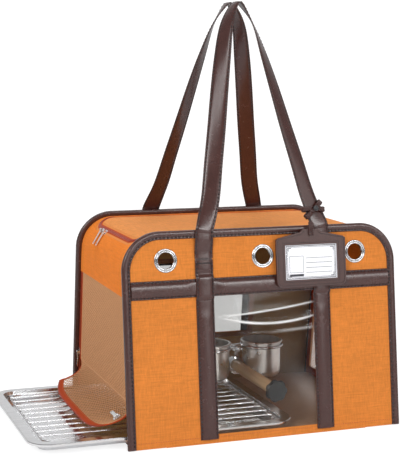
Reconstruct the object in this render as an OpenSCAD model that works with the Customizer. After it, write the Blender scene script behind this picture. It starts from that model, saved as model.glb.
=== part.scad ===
// Travel carrier for a small bird: a soft tote with a clear front window, two long shoulder
// handles, a zipped top lid, mesh sides, a pull-out steel tray with a wire rack, a perch and
// two feeding cups. Millimetres, +Z up, +X to the right of the front panel, -Y to the front.
// The origin is the centre of the base on the floor.

/* [Bag] */
// Width over the edge binding of the front panel
bag_width = 420; // [400:5:440]
// Height of the panels above the floor
bag_height = 300; // [290:2:320]
// Depth over the two panels at the floor
base_depth = 322; // [310:2:340]
// Depth over the two panels at their top edge
top_depth = 246; // [236:2:256]
// Radius of the panels' top corners
corner_radius = 56; // [48:1:64]
// Thickness of a stiffened canvas panel
panel_thickness = 3; // [2.5:0.5:4]
// Thickness of the canvas of the gusset and the lid
canvas_thickness = 2; // [1.6:0.2:2.4]
// Distance of the gusset inside the edge of the binding
gusset_inset = 8; // [7:0.5:9]
// Distance of the side mesh's top edge below the top of the bag
mesh_drop = 94; // [84:2:104]
// Thickness of the mesh cloth
mesh_thickness = 1; // [0.8:0.1:1.2]
// Thickness of the lining cloth
lining_thickness = 0.8; // [0.6:0.1:1]

/* [Leather trim] */
// Width of the edge binding
binding_width = 12; // [11:0.5:14]
// Thickness of the binding's leather
binding_leather = 2; // [1.5:0.25:2.5]
// Height of the band across each panel
band_height = 26; // [22:1:30]
// Thickness of the band and the sewn straps
strap_thickness = 2.4; // [2:0.2:3]
// Width of the straps and handles
strap_width = 27; // [24:1:30]
// Distance of each strap from the middle of the bag
strap_offset = 90; // [84:2:96]
// Distance of the handles' lower ends below the panels' top edge
root_drop = 40.4; // [36.4:1:46.4]
// Height of the top of the handles above the floor
handle_top = 621; // [580:5:660]
// Distance of each handle's top from the middle plane
handle_apart = 18; // [17:1:24]

/* [Windows and eyelets] */
// Half width of the window openings
window_half_width = 88; // [84:1:92]
// Height of the lower edge of the front window
front_window_bottom = 12; // [11:1:20]
// Height of the lower edge of the back window
back_window_bottom = 88; // [84:2:100]
// Thickness of the clear film
film_thickness = 0.8; // [0.5:0.1:1]
// Hole diameter of an eyelet
eyelet_bore = 23; // [18:0.5:26]
// Flange diameter of an eyelet
eyelet_flange = 34; // [30:0.5:38]
// Distance of the eyelets' middles below the panels' top edge
eyelet_drop = 41.4; // [36.4:1:44.4]
// Distance of the outer eyelets' middles inside the ends of a panel
eyelet_inset = 64; // [60:2:70]

/* [Zips] */
// Distance of the lid's zip line inside each end of the bag
lid_margin = 27; // [24:1:34]
// Half depth of the lid to its zip line
lid_half_depth = 108; // [100:1:109]
// Radius of the lid's corners
lid_corner = 30; // [24:1:36]
// Width of one half of a zip's tape
tape_width = 6; // [5:0.5:6.5]
// Thickness of a zip's tape
tape_thickness = 1.4; // [1.2:0.1:1.6]
// Length of a zip slider
slider_length = 11; // [9:0.5:13]
// Width of a zip slider
slider_width = 8; // [7.6:0.2:9]
// Length of a zip pull
pull_length = 25; // [20:1:30]
// Width of a zip pull
pull_width = 5; // [4.4:0.2:5.4]

/* [Open flap] */
// Height of the line at which the left flap bends out
flap_bend = 62; // [56:1:70]
// Distance that the flap's hem stands out from the side
flap_reach = 48; // [40:1:54]
// Drop of the flap from its bend to its hem
flap_drop = 40; // [38:0.5:41]

/* [Tray] */
// Distance of the tray's rim inside each end of the bag
tray_end_margin = 14; // [13:1:24]
// Distance of the tray's rim inside the foot of each panel
tray_margin = 10; // [9:0.5:16]
// Height of the tray's rim above its underside
tray_height = 13; // [12:0.5:14]
// Width of the tray's flat rim
rim_width = 13; // [10:0.5:15]
// Radius of the rim's corners
tray_corner = 32; // [28:1:40]
// Sheet thickness of the tray
tray_sheet = 1; // [0.8:0.1:1.2]
// Distance that the tray is pulled out
tray_pulled = 147; // [100:1:160]
// Wire diameter of the rack's frame
frame_wire = 3; // [2.6:0.2:3.2]
// Wire diameter of the rack's bars
bar_wire = 2.4; // [2:0.2:2.8]
// Number of bars in the rack
bar_count = 10; // [8:1:12]

/* [Perch and cups] */
// Height of the perch's axis
perch_height = 60; // [56:1:68]
// Distance of the perch to the right of the middle
perch_offset = 22; // [10:1:30]
// Diameter of the perch dowel
perch_diameter = 18; // [16:0.5:20]
// Gap between the knob's face and the lining of the front panel
perch_gap = 11.57; // [8:0.5:19]
// Diameter of the knob over its lobes
knob_diameter = 33; // [30:1:36]
// Length of the knob
knob_length = 18; // [15:1:20]
// Diameter of a cup's body
cup_diameter = 60; // [54:1:64]
// Height of a cup
cup_height = 56; // [48:1:60]
// Wall of a cup
cup_wall = 1; // [0.8:0.1:1.4]
// Distance of each cup from the perch
cup_offset = 43; // [40:1:48]
// Height of the cups' rims above the floor
cup_rim_height = 99; // [96:1:106]
// Distance of the cups behind the middle plane
cup_back = 30; // [20:1:50]

/* [Tag] */
// Distance of the tag's shoulders below the panel's top edge
tag_drop = 19.4; // [17.4:1:25.4]
// Width of the tag
tag_width = 109; // [104:1:116]
// Height of the tag below its shoulders
tag_height = 69; // [66:1:74]
// Distance of the tag's middle from the middle of the bag
tag_offset = 72; // [68:1:76]
// Width of the card
card_width = 85.6; // [80:0.2:88]
// Height of the card
card_height = 54; // [50:0.5:56]
// Thickness of one leather layer of the tag
tag_leather = 1.8; // [1.4:0.1:2.2]

/* [Hidden] */
$fn = 48;
SMALL = 0.01;
// Clearances: between sewn layers, between moving pieces, and under a sliding piece
seam_gap = 0.15;
move_gap = 0.4;
slide_gap = 0.3;
hull_facets = 32;

lean = atan((base_depth - top_depth) / 2 / bag_height);
slant = bag_height / cos(lean);
half_width = bag_width / 2;
mesh_top = bag_height - mesh_drop;
lid_half_length = half_width - lid_margin;
eyelet_offset = half_width - eyelet_inset;
tray_length = bag_width - 2 * tray_end_margin;
handle_root = slant - root_drop;
eyelet_height = slant - eyelet_drop;
tray_depth = base_depth - 2 * tray_margin;
binding_back = panel_thickness + binding_leather;
board_thickness = 3.8;
skin_thickness = 1.2;
base_top = board_thickness + skin_thickness;
hem_height = 9;
side_outer = half_width - gusset_inset;
side_inner = side_outer - canvas_thickness;
gusset_radius = corner_radius - gusset_inset;
gusset_top = bag_height - gusset_inset;
arc_centre_x = half_width - corner_radius;
arc_centre_z = bag_height - corner_radius;
fit_gap = 0.08;
nut_height = perch_height + perch_diameter / 2 + 18;
panel_foot = binding_back * tan(lean);
eyelet_wall = 1.2;
film_margin = 8;
band_bottom = mesh_top / cos(lean);
tape_sink = (canvas_thickness - tape_thickness) / 2;
hinge_gap = 1.2;
hinge_line = lid_half_depth - hinge_gap / 3;
side_top = mesh_top - 1.1;
door_bottom = base_top + tape_width + 2 * move_gap;
door_gap = tape_width + move_gap;

// Half depth between the panels at a height, measured to a plane that lies inset behind
// the panels' outer faces
function half_depth(z, inset) = base_depth / 2 - z * tan(lean) - inset / cos(lean);

// A point of the front panel's own frame: x, distance up the panel, distance out of its face
function on_panel(x, up, out) = [x,
    -base_depth / 2 + up * sin(lean) - out * cos(lean),
    up * cos(lean) + out * sin(lean)];

CANVAS = [0.87, 0.52, 0.22];
LID_CANVAS = [0.89, 0.60, 0.36];
SIDE_CANVAS = [0.92, 0.48, 0.18];
LEATHER = [0.29, 0.20, 0.18];
TAG_LEATHER = [0.40, 0.34, 0.33];
LINING = [0.40, 0.33, 0.25];
TAPE = [0.78, 0.31, 0.14];
MESH = [0.75, 0.52, 0.34];
FILM = [0.85, 0.90, 0.92, 0.3];
STEEL = [0.80, 0.80, 0.82];
WOOD = [0.80, 0.58, 0.40];
BLACK = [0.10, 0.10, 0.11];
CARD = [0.95, 0.95, 0.98];

// ---- Frames of reference ----

module on_front() {
    translate([0, -base_depth / 2, 0]) rotate([90 - lean, 0, 0]) children();
}

module on_back() {
    mirror([0, 1, 0]) on_front() children();
}

// ---- Outlines ----

// An arch with a flat foot and two round top corners
module arch(half, height, radius) {
    translate([-half, panel_foot]) square([2 * half, height - radius - panel_foot]);
    translate([radius - half, 0]) square([2 * (half - radius), height]);
    for (side = [-1, 1]) translate([side * (half - radius), height - radius]) circle(radius);
}

module rounded(half_x, half_y, radius) {
    square([2 * half_x, 2 * (half_y - radius)], center = true);
    square([2 * (half_x - radius), 2 * half_y], center = true);
    for (x = [-1, 1], y = [-1, 1])
        translate([x * (half_x - radius), y * (half_y - radius)]) circle(radius);
}

// ---- Panels ----

module panel(window_bottom) {
    edge = binding_leather + seam_gap;
    window_top = mesh_top + 6;
    translate([0, 0, -panel_thickness]) linear_extrude(panel_thickness) difference() {
        arch(half_width - edge, slant - edge, corner_radius - edge);
        translate([-window_half_width, window_bottom])
            square([2 * window_half_width, window_top - window_bottom]);
        for (side = [-1, 0, 1]) translate([side * eyelet_offset, eyelet_height])
            circle(d = eyelet_bore + 2 * eyelet_wall);
    }
}

module window_film(window_bottom) {
    translate([0, 0, -panel_thickness - film_thickness]) linear_extrude(film_thickness)
        translate([-window_half_width - film_margin, window_bottom - film_margin])
            square([2 * (window_half_width + film_margin), mesh_top + 6 - window_bottom + 2 * film_margin]);
}

module lining(window_bottom) {
    edge = binding_width + seam_gap;
    foot = base_top + seam_gap;
    around = film_margin + seam_gap;
    translate([0, 0, -panel_thickness - lining_thickness]) linear_extrude(lining_thickness)
        difference() {
            arch(half_width - edge, slant - edge, corner_radius - edge);
            translate([-half_width, -SMALL]) square([bag_width, foot]);
            translate([-window_half_width - around, window_bottom - around])
                square([2 * (window_half_width + around), mesh_top + 6 - window_bottom + 2 * around]);
            for (side = [-1, 0, 1]) translate([side * eyelet_offset, eyelet_height])
                circle(d = eyelet_flange + 1);
        }
}

// A leather channel folded over the panel's edge, open at the foot
module binding() {
    edge = binding_leather;
    difference() {
        translate([0, 0, -binding_back]) linear_extrude(binding_back + binding_leather) difference() {
            arch(half_width, slant, corner_radius);
            translate([0, -1]) arch(half_width - binding_width, slant - binding_width + 1,
                corner_radius - binding_width);
        }
        translate([0, -1, -panel_thickness]) linear_extrude(panel_thickness)
            arch(half_width - edge, slant - edge + 1, corner_radius - edge);
    }
}

module band() {
    length = 2 * (half_width - binding_width - seam_gap);
    translate([-length / 2, band_bottom, 0]) cube([length, band_height, strap_thickness]);
}

// A sewn strap, seen from its side: it lies on the panel, steps over the band and carries
// the doubled end of the handle
module sewn_strap() {
    t = strap_thickness;
    ramp = 5;
    foot = 6;
    low = band_bottom - ramp;
    high = band_bottom + band_height + ramp;
    end = handle_root - strap_thickness / 2 - 1.4;
    rise = t + seam_gap;
    doubled = end - 18;
    rotate([90, 0, 90]) linear_extrude(strap_width, center = true) polygon([
        [foot, 0], [low, 0], [band_bottom - seam_gap, rise],
        [band_bottom + band_height + seam_gap, rise], [high, 0], [end, 0],
        [end, t + 1], [doubled, t + 1], [doubled - 1, t], [high + 1, t],
        [band_bottom + band_height + 1, rise + t], [band_bottom - 1, rise + t], [low - 1, t], [foot, t]]);
}

module eyelets() {
    flange = 1.2;
    r = eyelet_bore / 2;
    for (side = [-1, 0, 1]) translate([side * eyelet_offset, eyelet_height, 0])
        rotate_extrude() union() {
            translate([r, -panel_thickness - flange])
                square([eyelet_wall - seam_gap, panel_thickness + 2 * flange]);
            translate([r, 0]) polygon([[0, 0], [eyelet_flange / 2 - r, 0],
                [eyelet_flange / 2 - r - 1.2, flange], [0, flange]]);
            translate([r, -panel_thickness]) polygon([[0, 0], [eyelet_flange / 2 - r, 0],
                [eyelet_flange / 2 - r - 1.2, -flange], [0, -flange]]);
        }
}

// ---- Gusset, lid and base ----

// The space between the two panels, to a plane that lies inset behind their faces
module between_panels(inset) {
    low = -1;
    high = bag_height + 1;
    rotate([90, 0, 90]) linear_extrude(2 * bag_width, center = true) polygon([
        [-half_depth(low, inset), low], [half_depth(low, inset), low],
        [half_depth(high, inset), high], [-half_depth(high, inset), high]]);
}

// The shell that runs up one side, over the top and down the other side
module gusset_shell(thickness, outer = 0) {
    intersection() {
        rotate([90, 0, 0]) linear_extrude(base_depth, center = true) difference() {
            arch(side_outer - outer, gusset_top - outer, gusset_radius - outer);
            translate([0, -1]) arch(side_outer - outer - thickness, gusset_top - outer - thickness + 1,
                gusset_radius - outer - thickness);
        }
        between_panels(binding_back);
    }
}

module lid_plan(grow) {
    translate([0, 0, arc_centre_z]) linear_extrude(corner_radius)
        rounded(lid_half_length + grow, lid_half_depth + grow, lid_corner + grow);
}

module gusset() {
    color(SIDE_CANVAS) difference() {
        gusset_shell(canvas_thickness);
        translate([-bag_width, -base_depth, -1]) cube([2 * bag_width, 2 * base_depth, mesh_top + 1]);
        lid_plan(tape_width + move_gap);
    }
}

module lid_frame_tape() {
    color(TAPE) difference() {
        intersection() {
            gusset_shell(tape_thickness, tape_sink);
            lid_plan(tape_width + move_gap - seam_gap);
        }
        lid_plan(move_gap);
    }
}

// What is cut from the lid along its back edge, so that it can turn about the hinge line
module hinge_relief() {
    translate([-bag_width, lid_half_depth - hinge_gap, 0]) cube([2 * bag_width, base_depth, 2 * bag_height]);
}

module lid_panel() {
    color(LID_CANVAS) difference() {
        intersection() {
            gusset_shell(canvas_thickness);
            lid_plan(-tape_width);
        }
        hinge_relief();
    }
}

module lid_tape() {
    color(TAPE) difference() {
        intersection() {
            gusset_shell(tape_thickness, tape_sink);
            lid_plan(0);
        }
        lid_plan(seam_gap - tape_width);
        hinge_relief();
    }
}

module base_skin() {
    color(CANVAS) {
        difference() {
            intersection() {
                translate([-side_outer, -base_depth, 0]) cube([2 * side_outer, 2 * base_depth, base_top]);
                between_panels(binding_back);
            }
            translate([-side_outer + skin_thickness, -base_depth, skin_thickness])
                cube([2 * (side_outer - skin_thickness), 2 * base_depth, base_top]);
        }
    }
}

module base_board() {
    reach = side_outer - skin_thickness - seam_gap;
    color(LINING) intersection() {
        translate([-reach, -base_depth, skin_thickness]) cube([2 * reach, 2 * base_depth, board_thickness]);
        between_panels(binding_back);
    }
}

// ---- Sides ----

// A flat sheet in a side wall, set back from both panels by inset, between two heights
module side_sheet(inset, low, high, thickness) {
    sink = (canvas_thickness - thickness) / 2;
    y = function(z) half_depth(z, binding_back) - inset;
    rotate([90, 0, 90]) translate([0, 0, side_outer - sink - thickness]) linear_extrude(thickness)
        polygon([[-y(low), low], [y(low), low], [y(high), high], [-y(high), high]]);
}

module left_mesh() {
    color(MESH) mirror([1, 0, 0])
        side_sheet(door_gap + tape_width, flap_bend, mesh_top - seam_gap, mesh_thickness);
}

module left_zip_tape() {
    color(TAPE) mirror([1, 0, 0]) difference() {
        side_sheet(seam_gap, base_top + seam_gap, mesh_top - seam_gap, tape_thickness);
        translate([0, -base_depth, -1]) intersection() {
            cube([bag_width, 2 * base_depth, flap_bend + 1]);
            translate([0, base_depth, 1]) side_sheet(tape_width, -1, flap_bend, 3 * canvas_thickness);
        }
        side_sheet(door_gap + tape_width - seam_gap, -1, mesh_top + 1, 3 * canvas_thickness);
        translate([0, -tray_depth / 2 - 0.7, -1]) cube([bag_width, tray_depth + 1.4, tray_rim + 1.7]);
    }
}

module right_zip_tape() {
    color(TAPE) difference() {
        side_sheet(seam_gap, base_top + seam_gap, mesh_top - seam_gap, tape_thickness);
        side_sheet(tape_width, base_top + tape_width, mesh_top + 1, 3 * canvas_thickness);
    }
}

module right_door_mesh() {
    color(MESH) side_sheet(door_gap + tape_width, door_bottom + tape_width, side_top, mesh_thickness);
}

module right_door_tape() {
    color(TAPE) difference() {
        side_sheet(door_gap, door_bottom, side_top, tape_thickness);
        side_sheet(door_gap + tape_width - seam_gap, door_bottom + tape_width - seam_gap, mesh_top + 1,
            3 * canvas_thickness);
    }
}

// ---- The open flap: a sheet that bends out of the side and curls up at its corners ----

flap_half = half_depth(flap_bend, binding_back) - door_gap - pull_width - 0.6;

// A point of the flap: down from the bend to the hem, and along from the front to the back
function flap_point(down, along) =
    let (edge = pow(abs(along), 5))
    [-side_outer + tape_sink - flap_reach * down * down + 13 * edge * down,
     (flap_half - 6 * pow(down, 3)) * along,
     flap_bend - move_gap - flap_drop * (1.4 * down - 0.4 * down * down) + 11 * edge * down];

function flap_normal(down, along) =
    let (e = 0.02,
         a = flap_point(down + e, along) - flap_point(down, along),
         b = flap_point(down, along + e) - flap_point(down, along),
         n = cross(b, a))
    n / norm(n);

// A patch of the flap, of a thickness, as a closed shell
module flap_patch(d0, d1, a0, a1, rows, columns, thickness) {
    d = function(i) d0 + (d1 - d0) * i / rows;
    a = function(j) a0 + (a1 - a0) * j / columns;
    w = columns + 1;
    n = (rows + 1) * w;
    outer = [for (i = [0:rows], j = [0:columns]) flap_point(d(i), a(j))];
    inner = [for (i = [0:rows], j = [0:columns])
        flap_point(d(i), a(j)) - thickness * flap_normal(d(i), a(j))];
    top = function(i, j) i * w + j;
    low = function(i, j) n + i * w + j;
    faces = concat(
        [for (i = [0:rows - 1], j = [0:columns - 1]) each [
            [top(i, j), top(i, j + 1), top(i + 1, j)],
            [top(i, j + 1), top(i + 1, j + 1), top(i + 1, j)],
            [low(i, j), low(i + 1, j), low(i, j + 1)],
            [low(i, j + 1), low(i + 1, j), low(i + 1, j + 1)]]],
        [for (j = [0:columns - 1]) each [
            [top(0, j), low(0, j), top(0, j + 1)],
            [top(0, j + 1), low(0, j), low(0, j + 1)],
            [top(rows, j), top(rows, j + 1), low(rows, j)],
            [top(rows, j + 1), low(rows, j + 1), low(rows, j)]]],
        [for (i = [0:rows - 1]) each [
            [top(i, 0), top(i + 1, 0), low(i, 0)],
            [top(i + 1, 0), low(i + 1, 0), low(i, 0)],
            [top(i, columns), low(i, columns), top(i + 1, columns)],
            [top(i + 1, columns), low(i, columns), low(i + 1, columns)]]]);
    polyhedron(concat(outer, inner), faces);
}

hem_start = 0.86;
edge_start = 0.955;

module left_flap_mesh() {
    color(MESH) flap_patch(0, hem_start - 0.004, -edge_start + 0.002, edge_start - 0.002, 10, 24,
        mesh_thickness);
}

module left_flap_tape() {
    color(TAPE) {
        flap_patch(hem_start, 1, -1, 1, 2, 26, tape_thickness);
        for (side = [-1, 1])
            flap_patch(0, hem_start - 0.004, side > 0 ? edge_start : -1, side > 0 ? 1 : -edge_start, 10, 1,
                tape_thickness);
    }
}

// ---- Zip sliders and pulls ----

pin_radius = 1;
lug_height = 2.6;
pin_height = 3.4;
barrel_radius = 1.9;
lug_thickness = 1;

// A slider: its base lies on the tape at z = 0, its pin runs along y at pin_height
module slider() {
    gap = pull_width / 2 + 0.35;
    color(STEEL) {
        linear_extrude(1.2) rounded(slider_width / 2, slider_length / 2, 2);
        for (side = [-1, 1]) translate([0, side * (gap + lug_thickness / 2), 0])
            rotate([90, 0, 0]) linear_extrude(lug_thickness, center = true) {
                translate([-1.8, 0.6]) square([3.6, pin_height - 0.6]);
                translate([0, pin_height]) circle(1.8);
            }
        translate([0, 0, pin_height]) rotate([90, 0, 0])
            cylinder(r = pin_radius, h = 2 * gap + 2 * lug_thickness - SMALL, center = true);
    }
}

// A pull that hangs from the pin towards -x, turned down about it by an angle
module pull(down) {
    color(STEEL) translate([0, 0, pin_height]) rotate([0, -down, 0]) difference() {
        rotate([90, 0, 0]) linear_extrude(pull_width, center = true) {
            circle(barrel_radius);
            translate([-pull_length, -0.6]) square([pull_length - 1, 1.2]);
        }
        rotate([90, 0, 0]) cylinder(r = pin_radius + fit_gap, h = 2 * pull_width, center = true);
        translate([3 - pull_length, 0, -2]) cylinder(r = 1.2, h = 4);
    }
}

// The lid's sliders sit on the frame's tape at the left end of the lid
lid_slider_turn = asin((lid_half_length + move_gap + tape_width / 2 + 1 - arc_centre_x) / gusset_radius);
lid_slider_places = [52, 35];
lid_pull_turn = 15;

module at_lid_slider(which) {
    translate([-arc_centre_x, lid_slider_places[which], arc_centre_z]) rotate([0, -lid_slider_turn, 0])
        translate([0, 0, gusset_radius - tape_sink + slide_gap]) children();
}

module lid_slider_rear() { at_lid_slider(0) slider(); }
module lid_slider_front() { at_lid_slider(1) slider(); }
module lid_pull_rear() { at_lid_slider(0) pull(lid_pull_turn); }
module lid_pull_front() { at_lid_slider(1) pull(lid_pull_turn); }

// The left slider stopped part of the way down the zip beside the back panel
left_slider_height = 74;

module at_side_slider(side, height) {
    y = half_depth(height, binding_back) - slider_width / 2 - 1.2;
    mirror([side < 0 ? 1 : 0, 0, 0]) translate([side_outer - tape_sink + slide_gap, y, height])
        rotate([lean, 0, 0]) rotate([0, 90, 0]) children();
}

module left_slider() { at_side_slider(-1, left_slider_height) side_slider(); }
module left_pull() { at_side_slider(-1, left_slider_height) side_pull(); }

// The same slider with its length along the zip of a side wall
module side_slider() {
    color(STEEL) {
        linear_extrude(1.2) rounded(slider_length / 2, slider_width / 2, 2);
        slider_top();
    }
}

module slider_top() {
    gap = pull_width / 2 + 0.35;
    for (side = [-1, 1]) translate([0, side * (gap + 0.5), 0])
        rotate([90, 0, 0]) linear_extrude(1, center = true) {
            translate([-1.8, 0.6]) square([3.6, pin_height - 0.6]);
            translate([0, pin_height]) circle(1.8);
        }
    translate([0, 0, pin_height]) rotate([90, 0, 0])
        cylinder(r = pin_radius, h = 2 * gap + 2 - SMALL, center = true);
}

module side_pull() { mirror([1, 0, 0]) pull(0); }

right_slider_height = mesh_top - 20;

module right_slider() { at_side_slider(1, right_slider_height) side_slider(); }
module right_pull() { at_side_slider(1, right_slider_height) side_pull(); }

// The flap's own slider lies on its front edge, with its pull along the flap
flap_slider_down = 0.6;
flap_slider_along = -0.9;

module on_flap() {
    p = flap_point(flap_slider_down, flap_slider_along);
    n = flap_normal(flap_slider_down, flap_slider_along);
    x = -cross([0, 1, 0], n) / norm(cross([0, 1, 0], n));
    y = cross(n, x);
    o = p + 0.8 * n;
    multmatrix([for (i = [0:2]) [y[i], -x[i], n[i], o[i]]]) children();
}

module flap_slider() { on_flap() slider(); }
module flap_pull() { on_flap() pull(0); }

// ---- Tray and rack ----

tray_under = base_top + slide_gap;
tray_floor = tray_under + tray_sheet;
tray_rim = tray_under + tray_height;
wall_slope = 3;

// Sweeps an outline around a rounded rectangle. In the outline x runs outwards from the
// centre of the corners, and y is the height.
module around(half_x, half_y, radius) {
    x = half_x - radius;
    y = half_y - radius;
    for (turn = [0, 1]) rotate([0, 0, 180 * turn]) {
        translate([x, y, 0]) rotate_extrude(angle = 90) children();
        translate([-x, y, 0]) rotate([0, 0, 90]) rotate_extrude(angle = 90) children();
        translate([x, 0, 0]) rotate([90, 0, 0]) linear_extrude(2 * y, center = true) children();
        translate([0, y, 0]) rotate([90, 0, 90]) linear_extrude(2 * x, center = true) children();
    }
}

module at_tray() {
    translate([-tray_pulled, 0, 0]) children();
}

module tray() {
    wall = tray_corner - rim_width - wall_slope;
    t = tray_sheet;
    color(STEEL) at_tray() {
        around(tray_length / 2, tray_depth / 2, tray_corner) polygon([
            [wall - 2, tray_under], [wall, tray_under], [wall + wall_slope, tray_rim - t],
            [tray_corner - t, tray_rim - t], [tray_corner - t, tray_rim - 4], [tray_corner, tray_rim - 4],
            [tray_corner, tray_rim - 1], [tray_corner - 1, tray_rim], [wall + wall_slope - t, tray_rim],
            [wall - t, tray_floor], [wall - 2, tray_floor]]);
        inner = tray_corner - wall + 1;
        translate([0, 0, tray_under]) linear_extrude(t)
            rounded(tray_length / 2 - inner, tray_depth / 2 - inner, wall - 1);
    }
}

rack_half_x = tray_length / 2 - rim_width - wall_slope - 7;
rack_half_y = tray_depth / 2 - rim_width - wall_slope - 7;
rack_corner = 20;
rack_level = tray_rim - bar_wire - frame_wire / 2 - 0.6;

module rack_frame() {
    r = frame_wire / 2;
    color(STEEL) at_tray() {
        around(rack_half_x, rack_half_y, rack_corner) translate([rack_corner, rack_level]) circle(r);
        for (x = [-1, 1], y = [-1, 1])
            translate([x * rack_half_x * 0.6, y * rack_half_y, tray_floor + seam_gap])
                cylinder(r = r, h = rack_level - tray_floor - seam_gap);
    }
}

module rack_bars() {
    step = 2 * rack_half_y / (bar_count + 1);
    length = 2 * rack_half_x + frame_wire;
    color(STEEL) at_tray() for (i = [1:bar_count])
        translate([0, -rack_half_y + i * step, rack_level + frame_wire / 2 + bar_wire / 2 + seam_gap])
            rotate([0, 90, 0]) cylinder(d = bar_wire, h = length, center = true);
}

// ---- Perch and cups ----

perch_back = half_depth(perch_height, panel_thickness + lining_thickness);
knob_face = perch_gap - perch_back;
dowel_front = knob_face + knob_length - 6;

module at_perch(y) {
    translate([perch_offset, y, perch_height]) rotate([90, 0, 0]) children();
}

// A flanged steel cup screwed to the back panel, its foot cut to the slope of the panel
module perch_socket() {
    r = perch_diameter / 2;
    color(STEEL) intersection() {
        difference() {
            union() {
                at_perch(perch_back - 16) mirror([0, 0, 1]) cylinder(r = r + 2.5, h = 30);
                at_perch(perch_back - 5) mirror([0, 0, 1]) cylinder(r = r + 11, h = 20);
            }
            at_perch(perch_back - 20) mirror([0, 0, 1]) cylinder(r = r + seam_gap, h = 16);
        }
        between_panels(panel_thickness + lining_thickness);
    }
}

module perch_dowel() {
    r = perch_diameter / 2;
    back = perch_back - 4 - seam_gap;
    color(WOOD) difference() {
        at_perch(back) cylinder(r = r, h = back - dowel_front);
        at_perch(dowel_front + 10) cylinder(r = 3, h = 20);
    }
}

// A seven-lobed knob with a stud that screws into the end of the dowel
module perch_knob() {
    lobes = 7;
    r = knob_diameter / 2;
    shoulder = dowel_front - move_gap;
    color(BLACK) at_perch(shoulder) difference() {
        union() {
            cylinder(r = perch_diameter / 2 - 1, h = 3);
            translate([0, 0, 2.5]) cylinder(r1 = r - 2.5, r2 = r, h = 2.5);
            translate([0, 0, 5]) cylinder(r = r, h = shoulder - knob_face - 7);
            translate([0, 0, shoulder - knob_face - 2]) cylinder(r1 = r, r2 = r - 2, h = 2);
        }
        for (i = [0:lobes - 1]) rotate([0, 0, (i + 0.5) * 360 / lobes]) translate([r + 3.4, 0, -1])
            cylinder(r = 6, h = 2 * knob_length + 4);
    }
    color(STEEL) at_perch(shoulder + 8) cylinder(r = 3 - fit_gap, h = 8 + 3);
}

ring_wire = 4;
ring_level = cup_rim_height - 8;
lip = 3;
ring_radius = cup_diameter / 2 + ring_wire / 2 + slide_gap;
post_width = 7;
post_thickness = 5;
clamp_wall = 4;

// Two wire rings on a post whose clamp grips the dowel
module cup_holder() {
    r = perch_diameter / 2;
    bridge = cup_offset - ring_radius + 1;
    color(STEEL) difference() {
        union() {
            for (side = [-1, 1]) translate([perch_offset + side * cup_offset, cup_back, ring_level])
                rotate_extrude() translate([ring_radius, 0]) circle(ring_wire / 2);
            translate([perch_offset - bridge, cup_back - post_thickness / 2, ring_level - 3])
                cube([2 * bridge, post_thickness, 6]);
            translate([perch_offset - post_width / 2, cup_back - post_thickness / 2, perch_height + r])
                cube([post_width, post_thickness, ring_level + 3 - perch_height - r]);
            at_perch(cup_back + 8) cylinder(r = r + clamp_wall, h = 16);
        }
        at_perch(cup_back + perch_diameter + 2) cylinder(r = r + seam_gap, h = 2 * (perch_diameter + 2));
        for (side = [-1, 1]) translate([perch_offset + side * cup_offset, cup_back, ring_level - 10])
            cylinder(r = cup_diameter / 2 + slide_gap, h = 20);
    }
    color(STEEL) translate([perch_offset, cup_back - post_thickness / 2 + 1, nut_height])
        rotate([90, 0, 0]) cylinder(r = 2, h = 13);
}

module wing_nut() {
    face = cup_back - post_thickness / 2 - seam_gap;
    color(STEEL) translate([perch_offset, face, nut_height])
        rotate([90, 0, 0]) difference() {
            union() {
                cylinder(r1 = 5, r2 = 4, h = 6);
                for (side = [-1, 1]) translate([side * 5, 0, 4.5]) rotate([90, 0, 0])
                    linear_extrude(1.8, center = true) {
                        translate([side * 1, 2]) circle(3);
                        translate([-3, -3]) square([6, 5]);
                    }
            }
            translate([0, 0, -1]) cylinder(r = 2 + fit_gap, h = 20);
        }
}

module cup(side) {
    r = cup_diameter / 2;
    w = cup_wall;
    bottom = cup_rim_height - cup_height;
    color(STEEL) translate([perch_offset + side * cup_offset, cup_back, bottom]) rotate_extrude() union() {
        polygon([[0, 0], [r - 4, 0], [r - 1, 3], [r, 8], [r, cup_height - 1.5],
            [r - w, cup_height - 1.5], [r - w, 8.5], [r - 2, 3.8], [r - 4.5, w], [0, w]]);
        translate([r - w, cup_height - 1.5]) square([lip + w - 1.5, 1.5]);
        translate([r + lip - 1.5, cup_height - 1.5]) circle(1.5, $fn = 24);
    }
}

module cup_left() { cup(-1); }
module cup_right() { cup(1); }

// ---- Handles ----

// Points of half a handle, from the end sewn on the panel to the top: distance from the
// middle, height, and turn of the strap about its own length
root_out = strap_thickness / 2 + slide_gap;
over_binding = binding_leather + strap_thickness / 2 + 2 * slide_gap;
handle_foot = [
    on_panel(strap_offset, handle_root, root_out),
    on_panel(strap_offset, handle_root + 11, root_out + 0.1),
    on_panel(strap_offset - 0.5, slant - binding_width - 4, over_binding),
    on_panel(strap_offset - 1, slant - 5, over_binding + 0.2),
    on_panel(strap_offset - 3, slant + 4, over_binding)];
handle_shares = [[0.86, 0.12], [0.745, 0.27], [0.62, 0.43], [0.495, 0.6], [0.385, 0.74], [0.26, 0.88],
    [0.12, 0.965]];

function mix(a, b, t) = a + (b - a) * t;
function handle_half() = let (last = handle_foot[4])
    concat(handle_foot, [for (s = handle_shares)
        [s[0] * (strap_offset - 3), mix(last[1], -handle_apart, s[1]), mix(last[2], handle_top, s[1])]],
        [[0, -handle_apart, handle_top]]);

function flip(p) = [-p[0], p[1], p[2]];
function turned_back(list) = [for (i = [len(list) - 1:-1:0]) list[i]];
handle_points = let (half = handle_half())
    concat([for (p = half) flip(p)], [for (i = [len(half) - 2:-1:0]) half[i]]);

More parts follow.
